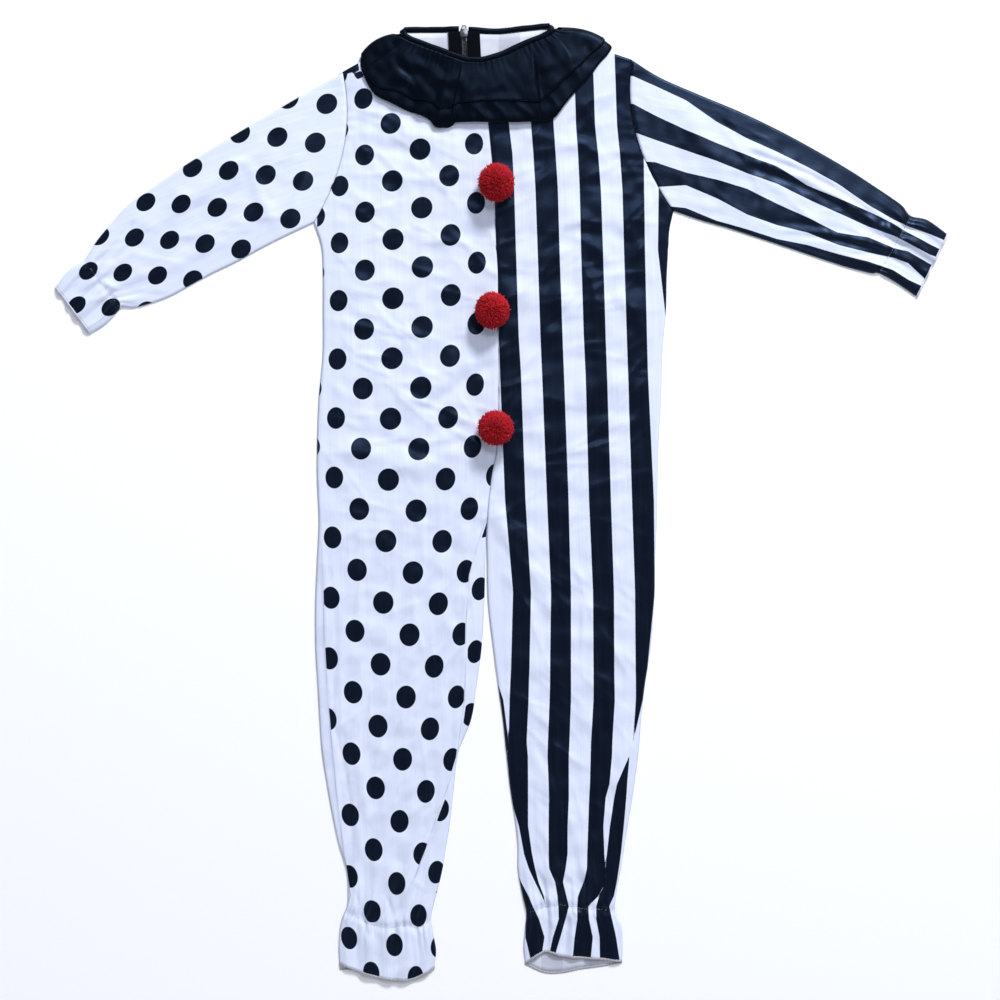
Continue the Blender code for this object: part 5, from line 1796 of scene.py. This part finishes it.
@dataclass
class Collar:
    """The two ruffles and the rolled strip round the neck."""

    rows: int = 420
    steps: int = 30
    root: float = 3.4
    under_root: float = 2.3
    fold_root: float = 4.5
    fold_pull: float = 4.5
    binding_half: Pair = (3.4, 2.1)
    binding_lift: float = 0.8
    end_reach: float = 6.4

    def __post_init__(self) -> None:
        """Read the collar's table finely."""
        table = np.array(COLLAR)
        at = np.linspace(0, len(table) - 1, self.rows)
        self.row = at
        columns = [smooth(np.arange(len(table)), table[:, k], at) for k in range(8)]
        self.neck = np.stack(columns[:2], axis=1)
        self.edge = np.stack(columns[2:4], axis=1)
        self.bow, self.short, self.lift, self.level = columns[4:]
        self.short = np.clip(self.short, 0.55, 0.965)
        self.lift = np.maximum(self.lift, 0.0)
        self.level = np.clip(self.level, -1.0, 1.0)
        self.over = (self.level + 1.0) / 2.0
        self.turning = np.maximum(1.0 - self.level**6, 0.0)
        self.calm = ramp(0.0, 1.0, self.level - 0.2)
        self.along_neck = arc(self.neck)
        self.along_edge = arc(self.edge)

    def long_points(self, v: Array) -> Array:
        """Middle of the long ruffle.

        Args:
            v: fractions from neck to hem for each row, (rows, steps).

        Returns:
            (rows, steps, 3) points.
        """
        run = self.edge - self.neck
        root = self.root + self.under_root * (1 - self.over) + self.fold_root * self.turning
        start = self.neck + unit(run) * root[:, None]
        sideways = unit(np.stack([-run[:, 1], run[:, 0]], axis=1))
        w = v[..., None]
        place = start[:, None] * (1 - w) + self.edge[:, None] * w
        place += sideways[:, None] * (self.bow[:, None] * 4 * v * (1 - v))[..., None]
        x, y = place[..., 0], place[..., 1]
        short, over = self.short[:, None], self.over[:, None]
        on_floor = ramp(0.0, 0.3, v - short - 0.05)
        hidden = under_back(x, y) - GAP - WALL / 2
        floor = WALL / 2 + 0.05
        hidden = np.maximum(hidden + (floor - hidden) * on_floor * (1 - over), floor)
        shown = under_front(x, y) + PUFF + WALL + COLLAR_AIR + WALL / 2
        shown = shown + self.lift[:, None] * v**0.8 + self._waves(v)
        creases = ridges(COLLAR_CREASES, x, y) + 0.7 * drape(x, y, 11, 34.0)
        shown = shown + self._pleats(v) + creases * ramp(0.0, 0.3, v) * self.calm[:, None]
        return np.dstack([place, hidden + (shown - hidden) * over])

    def _pleats(self, v: Array) -> Array:
        """Folded edges that stand over their neighbours.

        Args:
            v: fractions from neck to hem for each row.

        Returns:
            Their heights.
        """
        height = np.zeros_like(v)
        for pleat in PLEATS:
            along = pleat.neck_row + (pleat.hem_row - pleat.neck_row) * v
            off = (self.row[:, None] - along) * pleat.side
            step = ramp(-0.16, 0.0, off) * np.exp(-np.maximum(off, 0.0) / pleat.reach)
            height += pleat.height * step * ramp(0.0, 0.35, v)
        return height * self.calm[:, None]

    def _waves(self, v: Array) -> Array:
        """Gathers at the neck that open into wider waves at the hem.

        Args:
            v: fractions from neck to hem for each row.

        Returns:
            Their heights.
        """
        neck, edge = self.along_neck[:, None], self.along_edge[:, None]
        uneven = 0.5 + 0.5 * np.sin(neck / 13.0 + 2.0 * np.sin(neck / 31.0))
        fine = np.sin(neck * 2 * np.pi / 6.5 + 2.3 * np.sin(neck / 17.0))
        fine = 0.55 * (0.5 + 0.5 * fine) * uneven * (1 - ramp(0.0, 0.30, v))
        wide = 0.5 + 0.5 * np.sin(edge * 2 * np.pi / 58.0 + 1.6 * np.sin(edge / 61.0) + 2.0)
        hem = 0.5 + 0.5 * np.sin(edge * 2 * np.pi / 19.0 + 2.4 * np.sin(edge / 29.0))
        waves = fine + 1.0 * wide**1.5 * ramp(0.2, 1.0, v) + 0.5 * hem * ramp(0.75, 1.0, v)
        return self.calm[:, None] * waves

    def _print(self, grid: Array) -> Array:
        """Lay a ruffle flat.

        Args:
            grid: its points.

        Returns:
            How far each is along the ruffle and down it.
        """
        down = np.cumsum(
            np.linalg.norm(np.diff(grid, axis=1, prepend=grid[:, :1]), axis=2), axis=1
        )
        return np.stack([np.broadcast_to(self.along_edge[:, None], down.shape), down], axis=2)

    def build(self) -> None:
        """Make both ruffles, their edges and the binding."""
        even = np.broadcast_to(np.linspace(0, 1, self.steps + 1), (self.rows, self.steps + 1))
        long_grid = self.long_points(even)
        short_base = self.long_points(even * self.short[:, None])
        normals = normals_of(short_base)
        if normals[self.rows // 2, 0, 2] < 0:
            normals = -normals
        own = self._waves(np.clip(even * 0.9, 0, 1))[::-1] * self.over[:, None] * 0.5
        away = LAYER + self.over[:, None] * (0.25 + 0.5 * even) + 0.4 * self.turning[:, None]
        short_grid = short_base + normals * (away + own)[..., None]
        satin = [material_of(BLACK)]
        for name, grid in (("ruffle_long", long_grid), ("ruffle_short", short_grid)):
            print_map = self._print(grid)
            ruffle = from_grid(name, grid, print_map, print_map, satin)
            thicken(ruffle, SHELL, offset=0.0, inner=0)
            seat(ruffle, [name])
            normal = normals_of(grid)[:, -1]
            edging(f"{name}_edge", grid[:, -1], normal, BLACK_OVERLOCK, 0.75)
        self.build_binding()

    def build_binding(self) -> None:
        """Make the rolled strip and its two rows of stitches."""
        inward = np.where(self.neck[:, 0] < COLLAR_CENTRE[0], 1.0, -1.0)
        x = self.neck[:, 0] + inward * self.fold_pull * self.turning
        y = self.neck[:, 1]
        low = np.maximum(under_back(x, y) - 0.8, self.binding_half[1] + self.binding_lift)
        high = under_front(x, y) + self.binding_half[1] + COLLAR_AIR
        path = np.stack([x, y, low + (high - low) * self.over], axis=1)
        path[:2, 0] += (self.end_reach, self.end_reach / 2)
        path[-2:, 0] -= (self.end_reach / 2, self.end_reach)
        side = np.concatenate([self.edge - path[:, :2], np.zeros((self.rows, 1))], axis=1)
        wide, tall = self.binding_half

        def half(length: Array) -> tuple[Array, Array]:
            """The strip's half width and height, puckered between stitches."""
            pucker = 1.0 + 0.035 * np.sin(length * 2.1) + 0.03 * np.sin(length / 3.7)
            return wide * pucker, tall * pucker

        strip = tube("neck_binding", path, side, half, 14, material_of(BLACK))
        seat(strip, ["neck_binding"])
        across = unit(side)
        for number, part in enumerate((0.55, -0.5)):
            line = path + across * wide * part
            line[:, 2] += tall * 0.86
            keep = self.level > 0.75
            stitches(f"binding_stitches_{number + 1}", line[keep], TOPSTITCH, 0.0, 0.22)


def edging(
    name: str,
    path: Array,
    normal: Array,
    thread: Thread,
    half_wide: float,
    closed: bool = False,
) -> Object:
    """Overlock stitches wrapped over a raw edge.

    Args:
        name: the piece's name.
        path: the edge.
        normal: the cloth's normal along it.
        thread: its thread.
        half_wide: half the width that it covers.
        closed: True where the edge runs all round.

    Returns:
        The new object.
    """
    if closed:
        path, normal = (np.concatenate([a, a[:1]]) for a in (path, normal))
    fine = resample(path, 1.1)
    length = arc(path)
    at = np.linspace(0, length[-1], len(fine))
    normal = np.stack([np.interp(at, length, normal[:, k]) for k in range(3)], axis=1)
    across = np.cross(unit(np.gradient(fine, axis=0)), unit(normal))
    thick = 0.5

    def half(along: Array) -> tuple[Array, Array]:
        """Loops bulge a little at each stitch."""
        loops = 1.0 + 0.16 * np.sin(along * 2 * np.pi / 3.4)
        return half_wide * loops, thick * loops

    edge = tube(name, fine, across, half, 8, material_of(thread))
    return seat(edge)


def stitches(
    name: str,
    path: Array,
    thread: Thread,
    zigzag: float,
    radius: float,
    stitch: float = 3.0,
    space: float = 0.9,
) -> Object:
    """A run of stitches as short threads.

    Args:
        name: the piece's name.
        path: the run, on the cloth.
        thread: its thread.
        zigzag: how far stitches swing to each side.
        radius: of the thread.
        stitch: length of a stitch.
        space: from one to the next.

    Returns:
        The new object.
    """
    fine = resample(path, stitch)
    direction = unit(np.gradient(fine, axis=0))
    sideways = np.cross(direction, np.array([0.0, 0.0, 1.0]))
    swing = np.where(np.arange(len(fine)) % 2 == 0, zigzag, -zigzag)[:, None]
    ends = fine + sideways * swing
    start = ends[:-1] + direction[:-1] * space / 2
    end = ends[1:] - direction[:-1] * space / 2
    points, faces = [], []
    for a, b in zip(start, end):
        along = unit(b - a)
        wide = unit(np.cross(along, np.array([0.0, 0.0, 1.0]))) * radius
        tall = np.array([0.0, 0.0, radius])
        base = len(points)
        for place, scale, lift in ((a, 0.4, -0.15), ((a + b) / 2, 1.0, 0.125), (b, 0.4, -0.15)):
            centre = place + np.array([0.0, 0.0, lift])
            points += [centre + side * scale for side in (wide, tall, -wide, -tall)]
        for ring in (base, base + 4):
            for k in range(4):
                first, second = ring + k, ring + (k + 1) % 4
                faces.append((first, second, second + 4, first + 4))
        faces += [(base + 3, base + 2, base + 1, base), (base + 8, base + 9, base + 10, base + 11)]
    obj = add_mesh(name, points, faces, [material_of(thread)])
    uv = obj.data.uv_layers.new(name="print")
    corners = np.array([loop.vertex_index for loop in obj.data.loops])
    uv.data.foreach_set("uv", np.array(points)[corners][:, :2].astype(np.float32).ravel())
    return seat(obj)


@dataclass
class Suit:
    """The four panels and two sleeves with their hems and elastic."""

    front_columns: int = 84
    front_step: float = 3.0
    back_columns: int = 38
    back_step: float = 6.0

    def build(self) -> None:
        """Make panels, sleeves, overlocked edges and elastic stitches."""
        cuts = {
            ("left", "front"): (0.232, 1.135, 0.206),
            ("right", "front"): (0.226, 1.120, 0.200),
            ("left", "back"): (0.210, 1.140, 0.196),
            ("right", "back"): (0.250, 1.135, 0.214),
        }
        kinds = {Hand.LEFT: "dots", Hand.RIGHT: "stripes"}
        slots = {Hand.LEFT: "dotted_satin", Hand.RIGHT: "striped_satin"}
        for hand in Hand:
            for face in Face:
                front = face is Face.FRONT
                columns = self.front_columns if front else self.back_columns
                step = self.front_step if front else self.back_step
                panel = ClothPanel(hand, face, columns, step)
                name = f"{face.value}_{kinds[hand]}"
                panel.build(name, slots[hand], cuts[hand.value, face.value])
                hem = panel.grid[-1].copy()
                hem[:, 2] += -SHELL / 2 if front else SHELL / 2
                up = np.tile([0.0, 0.0, 1.0], (len(hem), 1))
                edging(f"{name}_hem", hem, up, OVERLOCK, 1.5)
                if front:
                    self._elastic(panel, f"ankle_stitches_{hand.value}")
        self._sleeves()

    def _elastic(self, panel: ClothPanel, name: str) -> None:
        """Sew the zigzag that holds the ankle's elastic.

        Args:
            panel: the front that it is on.
            name: the stitches' name.
        """
        u = np.linspace(0.04, 0.96, 80)
        y = panel.cinch(u)
        x = panel.side(y) * (1 - u) + panel.middle(y) * u
        z = panel.front_height(u, x, y) + 0.15
        stitches(name, np.stack([x, y, z], axis=1), STITCH, 0.7, 0.3)

    def _sleeves(self) -> None:
        """Both sleeves, with the overlock round each cuff and the wrist's elastic."""
        dots = Sleeve(LEFT_SLEEVE, LEFT_ARMHOLE, 5)
        stripes = Sleeve(RIGHT_SLEEVE, RIGHT_ARMHOLE, 6)
        for sleeve, name, slot, satin, terms, cut in (
            (dots, "sleeve_dots", "dotted_satin", DOTTED_PLAIN, SLEEVE_DOTS, (0.36, 0.36, 0.098)),
            (stripes, "sleeve_stripes", "striped_satin", STRIPED, None, (0.36, 0.37, 0.098)),
        ):
            sleeve.build(name, slot, satin, terms, cut)
            rim = sleeve.grid[-1].copy()
            rim[:, 2] = np.clip(rim[:, 2], 0.55, None)
            out = sleeve.grid[-1] - sleeve.grid[-3]
            side = np.roll(rim, -1, axis=0) - np.roll(rim, 1, axis=0)
            normal = unit(np.cross(out, side))
            edging(f"{name}_hem", rim, normal, WHITE_OVERLOCK, 1.1, closed=True)
            t = np.linspace(0.03, 0.97, 60)
            place, high = sleeve.surface(np.full(60, sleeve.cuff_row), t)
            line = np.column_stack([place, high + 0.15])
            stitches(f"{name}_elastic", line, STITCH, 0.7, 0.3)


def add_box(size: Sequence[float], place: Sequence[float]) -> Object:
    """Add a plain box.

    Args:
        size: along x, y and z, in millimetres.
        place: its middle, in millimetres.

    Returns:
        The box.
    """
    bpy.ops.object.select_all(action="DESELECT")
    bpy.ops.mesh.primitive_cube_add(size=1.0, location=Vector(place) * MM)
    box = bpy.context.object
    box.scale = [v * MM for v in size]
    bpy.ops.object.transform_apply(location=True, rotation=True, scale=True)
    return box


@dataclass
class Zip:
    """The centre-back zip: tapes, coil and slider. The wire pull is the solid's own."""

    tape_width: float = 16.0
    tape: float = 0.6
    tape_more: float = 3.2  # how far the tapes run up into the neck binding
    lip_width: float = 1.6
    open_half: float = 3.0  # between the tapes, for the coil
    tooth_pitch: float = 1.6
    tooth: tuple[float, float, float] = (4.6, 1.0, 1.3)
    tooth_bevel: float = 0.35
    coil_high: float = 1.25
    coil_top: float = 2.4  # above the slider's middle
    slider: Pair = (9.0, 10.0)
    plate: float = 0.8
    plate_corner: float = 2.2
    wedge: Pair = (3.0, 2.4)
    wedge_sunk: float = 0.6
    wedge_place: float = 3.7
    wedge_corner: float = 0.6
    lug: Pair = (1.5, 0.42)  # radius of the ring and of its wire
    lug_low: float = 1.2  # from the outer plate down to the ring's middle
    slider_y: float = 561.7

    def build(self) -> None:
        """Make the zip."""
        for name, side in (("zip_tape_left", -1.0), ("zip_tape_right", 1.0)):
            down = np.linspace(ZIP_TOP_Y + self.tape_more, ZIP_END_Y, 110)
            y, part = np.meshgrid(down, np.linspace(0, 1, 9), indexing="ij")
            out = self.open_half + self.tape_width * part
            x = zip_middle(y) + side * out
            z = under_back(x, y) + WALL + GAP + SLACK + TAPE_AIR
            z += TAPE_LIP * np.exp(-((out - self.open_half) / self.lip_width) ** 2)
            grain = np.stack([out, y], axis=2)
            woven = [material_of(ZipTape())]
            tape = from_grid(name, np.dstack([x, y, z]), grain, grain, woven, flip=side < 0)
            thicken(tape, self.tape, inner=0)
            seat(tape, [name])
        self._coil()
        self._slider()
        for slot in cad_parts["zip_pull"].material_slots:
            slot.material = material_of(Nickel())

    def _coil(self) -> None:
        """One tooth, copied down the coil's line."""
        tooth = add_box(self.tooth, (0.0, 0.0, 0.0))
        bevel = tooth.modifiers.new("round", "BEVEL")
        bevel.width, bevel.segments = self.tooth_bevel * MM, 1
        apply_modifiers(tooth)
        base = np.array([v.co for v in tooth.data.vertices]) / MM
        faces = [list(polygon.vertices) for polygon in tooth.data.polygons]
        y = np.arange(self.slider_y + self.coil_top - GAP, ZIP_END_Y, -self.tooth_pitch)
        x = zip_middle(y)
        z = under_back(x, y) + self.coil_high
        points, polygons = [], []
        for place, slope in zip(np.stack([x, y, z], axis=1), np.arctan(np.gradient(z, y))):
            turned = base.copy()
            turned[:, 1] = base[:, 1] * math.cos(slope) - base[:, 2] * math.sin(slope)
            turned[:, 2] = base[:, 1] * math.sin(slope) + base[:, 2] * math.cos(slope)
            polygons += [[v + len(points) for v in face] for face in faces]
            points += (turned + place).tolist()
        coil = add_mesh("zip_coil_teeth", points, polygons, [material_of(Nylon())], smooth=False)
        bpy.data.objects.remove(tooth)
        seat(coil, ["zip_coil"])

    def _slider(self) -> None:
        """Two rounded plates, a wedge between them at the top, and the lug."""
        base = float(under_back(ZIP_TOP[0], self.slider_y))
        outer_top = base - GAP
        inner_low = base + WALL + GAP + SLACK + TAPE_AIR + GAP
        plate = (*self.slider, self.plate)
        wedge = (*self.wedge, inner_low - outer_top + self.wedge_sunk)
        parts = []
        boxes = (
            (plate, 0.0, outer_top - self.plate / 2, self.plate_corner),
            (plate, 0.0, inner_low + self.plate / 2, self.plate_corner),
            (wedge, self.wedge_place, (inner_low + outer_top) / 2, self.wedge_corner),
        )
        for size, past, high, corner in boxes:
            box = add_box(size, (ZIP_TOP[0], self.slider_y + past, high))
            bpy.ops.object.mode_set(mode="EDIT")
            bpy.ops.mesh.select_all(action="DESELECT")
            bpy.ops.object.mode_set(mode="OBJECT")
            for edge in box.data.edges:
                a, b = (box.data.vertices[v].co for v in edge.vertices)
                edge.select = abs(a.z - b.z) > 0.1 * MM
            bpy.ops.object.mode_set(mode="EDIT")
            bpy.ops.mesh.select_mode(type="EDGE")
            bpy.ops.mesh.bevel(offset=corner * MM, segments=4, affect="EDGES")
            bpy.ops.object.mode_set(mode="OBJECT")
            parts.append(box)
        lug = (ZIP_TOP[0], self.slider_y, outer_top - self.plate - self.lug_low)
        bpy.ops.mesh.primitive_torus_add(
            location=Vector(lug) * MM,
            rotation=(0.0, math.pi / 2, 0.0),
            major_radius=self.lug[0] * MM,
            minor_radius=self.lug[1] * MM,
            major_segments=20,
            minor_segments=8,
        )
        bpy.ops.object.transform_apply(location=True, rotation=True, scale=True)
        parts.append(bpy.context.object)
        bpy.ops.object.select_all(action="DESELECT")
        for part in parts:
            part.select_set(True)
        bpy.context.view_layer.objects.active = parts[0]
        bpy.ops.object.join()
        body = bpy.context.object
        body.name = "zip_slider_body"
        bevel = body.modifiers.new("soft_edges", "BEVEL")
        bevel.width, bevel.segments = 0.18 * MM, 2
        apply_modifiers(body)
        bpy.ops.object.shade_smooth_by_angle(angle=math.radians(40.0))
        body.data.materials.append(material_of(Nickel()))
        seat(body, ["zip_slider"])


@dataclass
class YarnBall:
    """A pompom: cut strands that stand out from a core and lie on the cloth."""

    number: int
    strands: int = 5200
    thickness: float = 0.52
    segments: int = 3
    root: float = 0.62

    def build(self) -> Object:
        """Make the ball.

        Returns:
            The pompom.
        """
        low, high = (np.array(c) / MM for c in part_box(f"pompom_{self.number}"))
        centre, half = (low + high) / 2, (high - low) / 2
        draw = np.random.default_rng(60 + self.number)
        spread = draw.normal(size=(self.strands, 3))
        outward = unit(spread)
        reach = draw.uniform(0.93, 1.0, self.strands) - 0.05 * (draw.random(self.strands) < 0.25)
        bend = draw.normal(scale=0.05, size=(self.strands, 3))
        side = unit(np.cross(outward, draw.normal(size=(self.strands, 3))))
        other = np.cross(outward, side)
        t = np.linspace(0.0, 1.0, self.segments + 1)
        radial = self.root + (reach[:, None] - self.root) * t
        line = outward[:, None] * radial[..., None] + bend[:, None] * (t**2)[None, :, None]
        line = line * half + centre
        radius = self.thickness * (1.15 - 0.35 * t) * draw.uniform(0.8, 1.25, (self.strands, 1))
        rings = []
        for corner in range(3):
            angle = 2 * math.pi * corner / 3
            out = side * math.cos(angle) + other * math.sin(angle)
            rings.append(line + out[:, None] * radius[..., None])
        points = np.stack(rings, axis=2)
        points[..., 2] = np.maximum(points[..., 2], low[2] + 0.05)
        count = (self.segments + 1) * 3
        base = np.arange(self.strands)[:, None] * count
        faces = []
        for segment in range(self.segments):
            for corner in range(3):
                a, b = segment * 3 + corner, segment * 3 + (corner + 1) % 3
                faces.append(base + np.array([a, b, b + 3, a + 3]))
        quads = np.concatenate(faces).tolist()
        caps = (base + np.array([count - 3, count - 2, count - 1])).tolist()
        name, yarn = f"pompom_{self.number}_yarn", [material_of(Yarn())]
        ball = add_mesh(name, points.reshape(-1, 3), quads + caps, yarn)
        tone = draw.uniform(0.15, 0.95, (self.strands, 1)) * np.ones((1, count))
        # Painted shade: each strand is darker towards its root, inside the ball
        root_shade = np.repeat(0.45 + 0.55 * t, 3)[None]
        attribute = ball.data.attributes.new("tone", "FLOAT", "POINT")
        attribute.data.foreach_set("value", (tone * root_shade).astype(np.float32).ravel())
        seat(ball, [f"pompom_{self.number}"])
        self._core(centre, half)
        return ball

    def _core(self, centre: Array, half: Array) -> None:
        """Make the dense middle, which hides the gaps between strands.

        Args:
            centre: the pompom's middle.
            half: half its size.
        """
        bpy.ops.object.select_all(action="DESELECT")
        bpy.ops.mesh.primitive_ico_sphere_add(subdivisions=4, radius=MM, location=(0, 0, 0))
        core = bpy.context.object
        core.scale = half * 0.80
        core.location = Vector(centre) * MM
        bpy.ops.object.transform_apply(location=True, rotation=True, scale=True)
        core.name = f"pompom_{self.number}_core"
        lumps = np.array([v.co for v in core.data.vertices])
        draw = np.random.default_rng(80 + self.number)
        middle = np.array(centre) * MM
        lumps = middle + (lumps - middle) * draw.uniform(0.92, 1.08, (len(lumps), 1))
        core.data.vertices.foreach_set("co", lumps.astype(np.float32).ravel())
        bpy.ops.object.shade_smooth()
        # With no tone it takes the yarn's darkest red: painted shade behind the strands
        core.data.materials.append(material_of(Yarn()))
        seat(core)


@dataclass(frozen=True)
class Floor(Finish):
    """Matt white paper sweep: even, with hardly any grain."""

    name: str = "white_paper"

    def dress(self, s: Surface) -> None:
        """Add its nodes.

        Args:
            s: the material.
        """
        grain = s.add("TexNoise", {"Vector": s.add("TexCoord", out="Object"), "Scale": 400.0})
        color = s.add("Mix", {0: grain, 6: linear("#FAFAFC"), 7: linear("#FFFFFF")}, **COLOR)
        s.set(Base_Color=color, Roughness=0.95)


@dataclass
class Studio:
    """Floor, lights and camera."""

    view_width: float = 1.2  # metres across the view
    distance: float = 3.2
    centre: Pair = (-0.0024, 0.0018)

    def build(self) -> None:
        """Set up the studio."""
        bpy.ops.object.select_all(action="DESELECT")
        bpy.ops.mesh.primitive_plane_add(size=30.0, location=(0.0, 0.0, -0.0004))
        floor = bpy.context.object
        floor.name = "floor"
        floor.data.materials.append(material_of(Floor()))
        self._light("key_light", (1.8, 4.8, 3.6), 1.1, 390.0, "#F8FAFF")
        self._light("sheen_light", (0.7, 1.8, 3.6), 0.8, 34.0, "#F4F8FF")
        self._light("left_fill", (-2.7, 0.1, 1.7), 1.8, 9.0, "#F1F5FF")
        self._light("right_fill", (2.7, 0.1, 1.7), 1.8, 9.0, "#F1F5FF")
        self._light("foot_fill", (-0.4, -2.8, 1.8), 1.8, 18.0, "#F1F5FF")
        world = bpy.context.scene.world or bpy.data.worlds.new("studio")
        bpy.context.scene.world = world
        world.use_nodes = True
        background = world.node_tree.nodes["Background"]
        background.inputs[0].default_value = linear("#EEF3FF")
        background.inputs[1].default_value = 0.24
        camera = bpy.data.cameras.new("camera")
        camera.sensor_width = 36.0
        camera.lens = 36.0 * self.distance / self.view_width
        eye = bpy.data.objects.new("camera", camera)
        eye.location = (*self.centre, self.distance + 0.004)
        bpy.context.scene.collection.objects.link(eye)
        bpy.context.scene.camera = eye
        bpy.context.scene.view_settings.view_transform = "Standard"

    def _light(self, name: str, place: tuple, size: float, power: float, color: str) -> None:
        """Add a soft square light that faces the suit.

        Args:
            name: its name.
            place: where it stands, in metres.
            size: its side in metres.
            power: watts.
            color: its hex colour.
        """
        data = bpy.data.lights.new(name, "AREA")
        data.size, data.energy, data.color = size, power, linear(color)[:3]
        light = bpy.data.objects.new(name, data)
        light.location = place
        light.rotation_euler = (-Vector(place)).to_track_quat("-Z", "Y").to_euler()
        bpy.context.scene.collection.objects.link(light)


def main() -> None:
    """Make the costume and its studio."""
    logging.basicConfig(level=logging.INFO, format="%(message)s")
    Suit().build()
    Collar().build()
    Zip().build()
    for number in (1, 2, 3):
        YarnBall(number).build()
    Studio().build()


if __name__ == "__main__":
    main()
